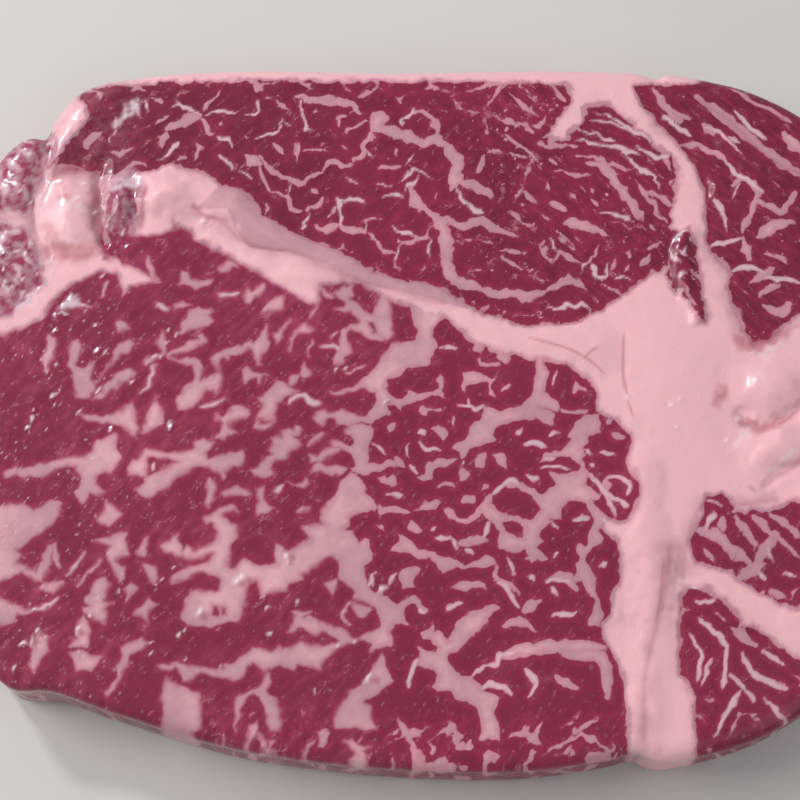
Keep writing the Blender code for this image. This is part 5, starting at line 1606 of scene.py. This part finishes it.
class Nodes:
    """Adds nodes to one material's tree."""

    def __init__(self, name: str) -> None:
        """Makes the material with nothing but its output."""
        self.material = bpy.data.materials.new(name)
        self.material.use_nodes = True
        self.tree = self.material.node_tree
        self.tree.nodes.clear()

    def add(self, kind: str, settings: dict[str, Any], sockets: dict[Any, Any], output: Any = 0) -> Wire:
        """Adds any node.

        Args:
            kind: the node's type.
            settings: its own properties, which are set first.
            sockets: a value or a wire for each input that isn't left as it comes.
            output: which output the wire holds.

        Returns:
            The wire of the chosen output.
        """
        node = self.tree.nodes.new(kind)
        for name, value in settings.items():
            setattr(node, name, value)
        for name, value in sockets.items():
            if isinstance(value, Wire):
                self.tree.links.new(value.socket, node.inputs[name])
            else:
                node.inputs[name].default_value = value
        return Wire(self, node.outputs[output] if len(node.outputs) else None)

    def attribute(self, name: str) -> Wire:
        """A number stored at each vertex."""
        return self.add("ShaderNodeAttribute", {"attribute_name": name}, {}, "Fac")

    def mix(self, share: Any, first: Any, second: Any) -> Wire:
        """The blend of two colours, first at 0 and second at 1."""
        return self.add("ShaderNodeMix", {"data_type": "RGBA"}, {0: share, 6: first, 7: second}, 2)

    def noise(self, place: Wire, scale: float, detail: float = 2.0) -> Wire:
        """Noise about a middle of 0, from about -1 to 1."""
        sockets = {"Vector": place, "Scale": scale, "Detail": detail}
        return (self.add("ShaderNodeTexNoise", {}, sockets, "Fac") - 0.5) * 2.6

    def turned(self, place: Wire, degrees: float, along: float, across: float) -> Wire:
        """Places turned about Z, then squeezed along the new X and Y."""
        rotation = (0, 0, -math.radians(degrees))
        turn = self.add("ShaderNodeMapping", {}, {"Vector": place, "Rotation": rotation})
        squeeze = (along, across, across)
        return self.add("ShaderNodeVectorMath", {"operation": "MULTIPLY"}, {0: turn, 1: squeeze})


def tint(red: float, green: float, blue: float) -> Colour:
    """A linear colour from the three 0 to 255 values that a screen shows."""
    shares = (value / 255 for value in (red, green, blue))
    linear = (share / 12.92 if share <= 0.04045 else ((share + 0.055) / 1.055) ** 2.4 for share in shares)
    return (*linear, 1.0)


@dataclass(frozen=True)
class RawBeef:
    """Wet raw beef: dark lean, brighter where it is thin, dusty pink fat, a moist sheen and fibre grain."""

    deep_lean: Colour = tint(130, 37, 67)
    dark_lean: Colour = tint(102, 25, 49)
    bright_lean: Colour = tint(148, 42, 77)
    rose_lean: Colour = tint(178, 74, 110)
    thin_fat: Colour = tint(212, 140, 156)
    dark_fat: Colour = tint(180, 131, 147)
    pale_fat: Colour = tint(237, 183, 190)
    # White that stands in for glints and sheen as painted highlights, and the colour of the whiter thin
    # streaks of fat.
    painted_glints_and_thin_fat: Colour = tint(240, 226, 234)
    # Dark red for painted shade in grooves, under lobes and beside drops, and for the thin red lines.
    shade_and_red_lines: Colour = tint(156, 36, 58)
    roughness: float = 0.3
    specular: float = 0.3
    coat_roughness: float = 0.1
    subsurface: float = 0.22
    subsurface_reach: float = 0.0016
    subsurface_radius: Place = (1.0, 0.32, 0.28)
    bump_strength: float = 0.2
    bump_depth: float = 0.0001
    fibre_scale: float = 1900
    speckle_scale: float = 2600
    blotch_scale: float = 420
    strand_scale: float = 330
    strand_thinness: float = 130

    def grain(self, nodes: Nodes, place: Wire, falling: Wire) -> tuple[Wire, Wire]:
        """The fine fibres and the broader strands. They rise to the right, or fall where falling is 1."""
        fibres = [
            nodes.noise(nodes.turned(place, 48, 0.35, 1.0), self.fibre_scale),
            nodes.noise(nodes.turned(place, -44, 0.22, 1.0), self.fibre_scale),
        ]
        strands = [
            nodes.noise(nodes.turned(place, 48, 0.22, 1.0), self.strand_scale, 3),
            nodes.noise(nodes.turned(place, -40, 0.22, 1.0), self.strand_scale, 3),
        ]
        return tuple(up + (down - up) * falling for up, down in (fibres, strands))

    def lean_colour(self, nodes: Nodes, lean: Wire, tone: Wire, blotch: Wire, grain: Wire) -> Wire:
        """Bright by a border and deep inside, darker or rosier by its tone, with rosy grain."""
        colour = nodes.mix((lean + blotch * 0.1).rise(0.1, 1.5), self.bright_lean, self.deep_lean)
        colour = nodes.mix((tone * -1 + blotch * 0.12).rise(0.0, 1.1) * 0.75, colour, self.dark_lean)
        colour = nodes.mix((tone + blotch * 0.12).rise(0.0, 1.3) * 0.6, colour, self.rose_lean)
        return nodes.mix(grain.rise(0.0, 1.2) * 0.12, colour, self.rose_lean)

    def fat_colour(self, nodes: Nodes, lean: Wire, tone: Wire, blotch: Wire) -> Wire:
        """Rosy by a border and pale inside, darker by its tone."""
        colour = nodes.mix((lean * -1 + blotch * 0.25).rise(0.0, 1.5), self.thin_fat, self.pale_fat)
        return nodes.mix((tone * -1 + blotch * 0.25).rise(0.0, 1.1) * 0.8, colour, self.dark_fat)

    def make(self) -> bpy.types.Material:
        """Builds the material.

        Returns:
            The finished material.
        """
        nodes = Nodes("raw_beef_skin")
        place = nodes.add("ShaderNodeTexCoord", {}, {}, "Object")
        lean, wet, shade_and_red_lines = nodes.attribute("lean"), nodes.attribute("wet"), nodes.attribute("shade_and_red_lines")
        fibre, strand = self.grain(nodes, place, nodes.attribute("grain"))
        speckle = nodes.noise(place, self.speckle_scale)
        blotch = nodes.noise(place, self.blotch_scale, 3)

        meat = ((lean + speckle * 0.03 + fibre * 0.05) / nodes.attribute("softness")).rise(-1.0, 1.0)
        rosy_grain = fibre * 0.6 + speckle * 0.3
        lean_colour = self.lean_colour(nodes, lean, nodes.attribute("tone"), blotch, rosy_grain)
        fat_colour = self.fat_colour(nodes, lean, nodes.attribute("fat_tone"), blotch)
        colour = nodes.mix(meat, fat_colour, lean_colour)
        thread = (1 - strand * strand * self.strand_thinness).rise(0.0, 1.0)
        thread = thread * (speckle + blotch * 1.5).rise(0.1, 0.9)
        colour = nodes.mix(thread * meat * nodes.attribute("threads") * 0.6, colour, self.thin_fat)
        # Painted shade: dark red in grooves, under lobes and beside drops, with the thin red lines.
        colour = nodes.mix(shade_and_red_lines * 0.7, colour, self.shade_and_red_lines)
        # Painted highlights: white glints and sheen, with the whiter thin fat, mixed into the colour.
        colour = nodes.mix(nodes.attribute("painted_glints_and_thin_fat") * 0.8, colour, self.painted_glints_and_thin_fat)

        relief = fibre * 0.4 + speckle * 0.3 + blotch * 0.6
        bump = nodes.add(
            "ShaderNodeBump", {},
            {"Strength": self.bump_strength, "Distance": self.bump_depth, "Height": relief},
        )
        shader = nodes.add(
            "ShaderNodeBsdfPrincipled", {"subsurface_method": "RANDOM_WALK"},
            {
                "Base Color": colour, "Normal": bump, "Coat Weight": wet * 0.5 + blotch * 0.1,
                "Roughness": self.roughness - wet * 0.08 + speckle * 0.03 + (1 - meat) * 0.05,
                "Coat Roughness": self.coat_roughness, "Specular IOR Level": self.specular,
                "Subsurface Weight": self.subsurface, "Subsurface Radius": self.subsurface_radius,
                "Subsurface Scale": self.subsurface_reach,
            },
        )
        nodes.add("ShaderNodeOutputMaterial", {}, {"Surface": shader})
        return nodes.material


# The steak

@dataclass
class Steak:
    """The steak's skin, cut into pieces by the muscles that it shows."""

    slab: Slab
    marbling: Marbling = Marbling()
    finish: RawBeef = RawBeef()
    names: tuple[tuple[str, Region | Part], ...] = (
        ("eye_muscle_outer", Region.EYE), ("eye_muscle_inner", Part.INNER_EYE), ("cap_muscle", Region.CAP),
        ("end_muscle", Region.END), ("lower_muscles", Region.LOWER), ("fat_seams", Region.FAT),
        ("tucked_tips", Region.TIPS), ("near_side", Part.NEAR_SIDE), ("right_side", Part.RIGHT_SIDE),
        ("far_side", Part.FAR_SIDE), ("left_side", Part.LEFT_SIDE), ("underside", Part.UNDERSIDE),
    )

    def build(self) -> list[bpy.types.Object]:
        """Makes every piece of the skin.

        Returns:
            The pieces.
        """
        skin = self.slab.skin(self.marbling)
        normals = skin.normals()
        material = self.finish.make()
        return [self.piece(name, label, skin, normals, material) for name, label in self.names]

    def piece(
        self, name: str, label: Region | Part, skin: Skin, normals: Array, material: bpy.types.Material
    ) -> bpy.types.Object:
        """Makes one piece from the triangles that have its label, with the whole skin's normals.

        Args:
            name: the piece's name.
            label: the label of its triangles.
            skin: the whole skin.
            normals: the whole skin's normals.
            material: its finish.

        Returns:
            The piece, at the origin.
        """
        chosen = skin.triangles[skin.labels == label.value]
        used, triangles = np.unique(chosen, return_inverse=True)
        triangles = triangles.reshape(-1, 3)
        places = skin.places[used] * MILLIMETRE
        mesh = bpy.data.meshes.new(name)
        mesh.vertices.add(len(places))
        mesh.vertices.foreach_set("co", places.astype(np.float32).ravel())
        mesh.loops.add(triangles.size)
        mesh.loops.foreach_set("vertex_index", triangles.astype(np.int32).ravel())
        mesh.polygons.add(len(triangles))
        mesh.polygons.foreach_set("loop_start", np.arange(0, triangles.size, 3, dtype=np.int32))
        mesh.update(calc_edges=True)
        for mark, values in skin.marks.items():
            layer = mesh.attributes.new(mark, "FLOAT", "POINT")
            layer.data.foreach_set("value", values[used].astype(np.float32))
        self.unwrap(mesh, name, places, triangles)
        mesh.shade_smooth()
        mesh.normals_split_custom_set_from_vertices(normals[used].astype(np.float32).tolist())
        mesh.materials.append(material)
        piece = bpy.data.objects.new(name, mesh)
        bpy.context.scene.collection.objects.link(piece)
        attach(piece, BODY)
        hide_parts(NODE)
        log.info("%s: %d triangles", name, len(triangles))
        return piece

    @staticmethod
    def unwrap(mesh: bpy.types.Mesh, name: str, places: Array, triangles: Array) -> None:
        """Lays the piece's map flat: a side by its length and height, anything else as seen from above."""
        axes = {"near_side": [0, 2], "far_side": [0, 2], "left_side": [1, 2], "right_side": [1, 2]}
        flat = places[:, axes.get(name, [0, 1])]
        low = flat.min(axis=0)
        flat = 0.01 + 0.98 * (flat - low) / (flat.max(axis=0) - low).max()
        layer = mesh.uv_layers.new(name=UV_MAP)
        layer.uv.foreach_set("vector", flat[triangles.ravel()].astype(np.float32).ravel())


# The studio

@dataclass(frozen=True)
class Lamp:
    """A square lamp: its name, its place and its side in metres, its power in watts and its colour."""

    name: str
    place: Place
    size: float
    power: float
    colour: Place


@dataclass(frozen=True)
class Studio:
    """A pale floor, soft lights and the camera, in metres and degrees."""

    target: Place = (-0.008, 0.0, 0.0194)
    elevation: float = 72.0
    distance: float = 0.4444
    lens: float = 100.0
    sensor: float = 36.0
    floor_size: float = 12.0
    floor_level: float = -2e-4
    floor_roughness: float = 0.7
    floor_colour: Colour = tint(205, 203, 200)
    cloud_colour: Colour = tint(225, 224, 222)
    sky_colour: Colour = (0.93, 0.96, 1.0, 1.0)
    sky_strength: float = 0.36
    lamps: tuple[Lamp, ...] = (
        Lamp("soft_light", (-1.05, 0.2, 0.9), 0.8, 10.7, (1.0, 0.985, 0.965)),
        Lamp("fill_light", (0.9, -0.5, 1.1), 1.2, 3.6, (0.97, 0.985, 1.0)),
        Lamp("glint_light", (-0.6, 0.65, 0.75), 0.14, 4.8, (1.0, 1.0, 1.0)),
    )

    def build(self) -> None:
        """Makes all of it."""
        self.place_camera()
        self.lay_floor()
        for lamp in self.lamps:
            self.hang(lamp)
        world = bpy.data.worlds.new("studio")
        world.use_nodes = True
        background = world.node_tree.nodes["Background"]
        background.inputs["Color"].default_value = self.sky_colour
        background.inputs["Strength"].default_value = self.sky_strength
        bpy.context.scene.world = world
        bpy.context.scene.view_settings.view_transform = "Standard"

    def place_camera(self) -> None:
        """Looks at the target from the near side, from its elevation and distance."""
        data = bpy.data.cameras.new("camera")
        data.lens = self.lens
        data.sensor_width = self.sensor
        data.clip_start = 0.01
        camera = bpy.data.objects.new("camera", data)
        angle = math.radians(self.elevation)
        offset = Vector((0, -math.cos(angle), math.sin(angle))) * self.distance
        camera.location = Vector(self.target) + offset
        camera.rotation_euler = (math.pi / 2 - angle, 0, 0)
        bpy.context.scene.collection.objects.link(camera)
        bpy.context.scene.camera = camera

    def lay_floor(self) -> None:
        """A square just below the steak's underside."""
        half = self.floor_size / 2
        mesh = bpy.data.meshes.new("floor")
        turns = ((-half, -half), (half, -half), (half, half), (-half, half))
        mesh.from_pydata([(*corner, self.floor_level) for corner in turns], [], [(0, 1, 2, 3)])
        nodes = Nodes("floor_paint")
        place = nodes.add("ShaderNodeTexCoord", {}, {}, "Object")
        cloud = nodes.noise(place, 9.0)
        colour = nodes.mix(cloud.rise(-1, 1) * 0.06, self.floor_colour, self.cloud_colour)
        sockets = {"Base Color": colour, "Roughness": self.floor_roughness}
        shader = nodes.add("ShaderNodeBsdfPrincipled", {}, sockets)
        nodes.add("ShaderNodeOutputMaterial", {}, {"Surface": shader})
        mesh.materials.append(nodes.material)
        floor = bpy.data.objects.new("floor", mesh)
        bpy.context.scene.collection.objects.link(floor)

    def hang(self, lamp: Lamp) -> None:
        """Adds a lamp that faces the target."""
        data = bpy.data.lights.new(lamp.name, "AREA")
        data.size = lamp.size
        data.energy = lamp.power
        data.color = lamp.colour
        hung = bpy.data.objects.new(lamp.name, data)
        hung.location = lamp.place
        way = Vector(self.target) - Vector(lamp.place)
        hung.rotation_euler = way.to_track_quat("-Z", "Y").to_euler()
        bpy.context.scene.collection.objects.link(hung)


def clear_startup() -> None:
    """Takes away the cube, lamp and camera that a new file brings."""
    for name in ("Cube", "Light", "Camera"):
        leftover = bpy.data.objects.get(name)
        if leftover is not None:
            bpy.data.objects.remove(leftover, do_unlink=True)


def main() -> None:
    """Builds the studio, and the steak at the size of the part's box."""
    logging.basicConfig(level=logging.INFO, format="%(message)s")
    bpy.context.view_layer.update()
    clear_startup()
    low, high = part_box(NODE)
    length, width, thickness = ((high[axis] - low[axis]) / MILLIMETRE - CLEARANCE for axis in range(3))
    Studio().build()
    Steak(Slab(length, width, thickness)).build()


if __name__ == "__main__":
    main()
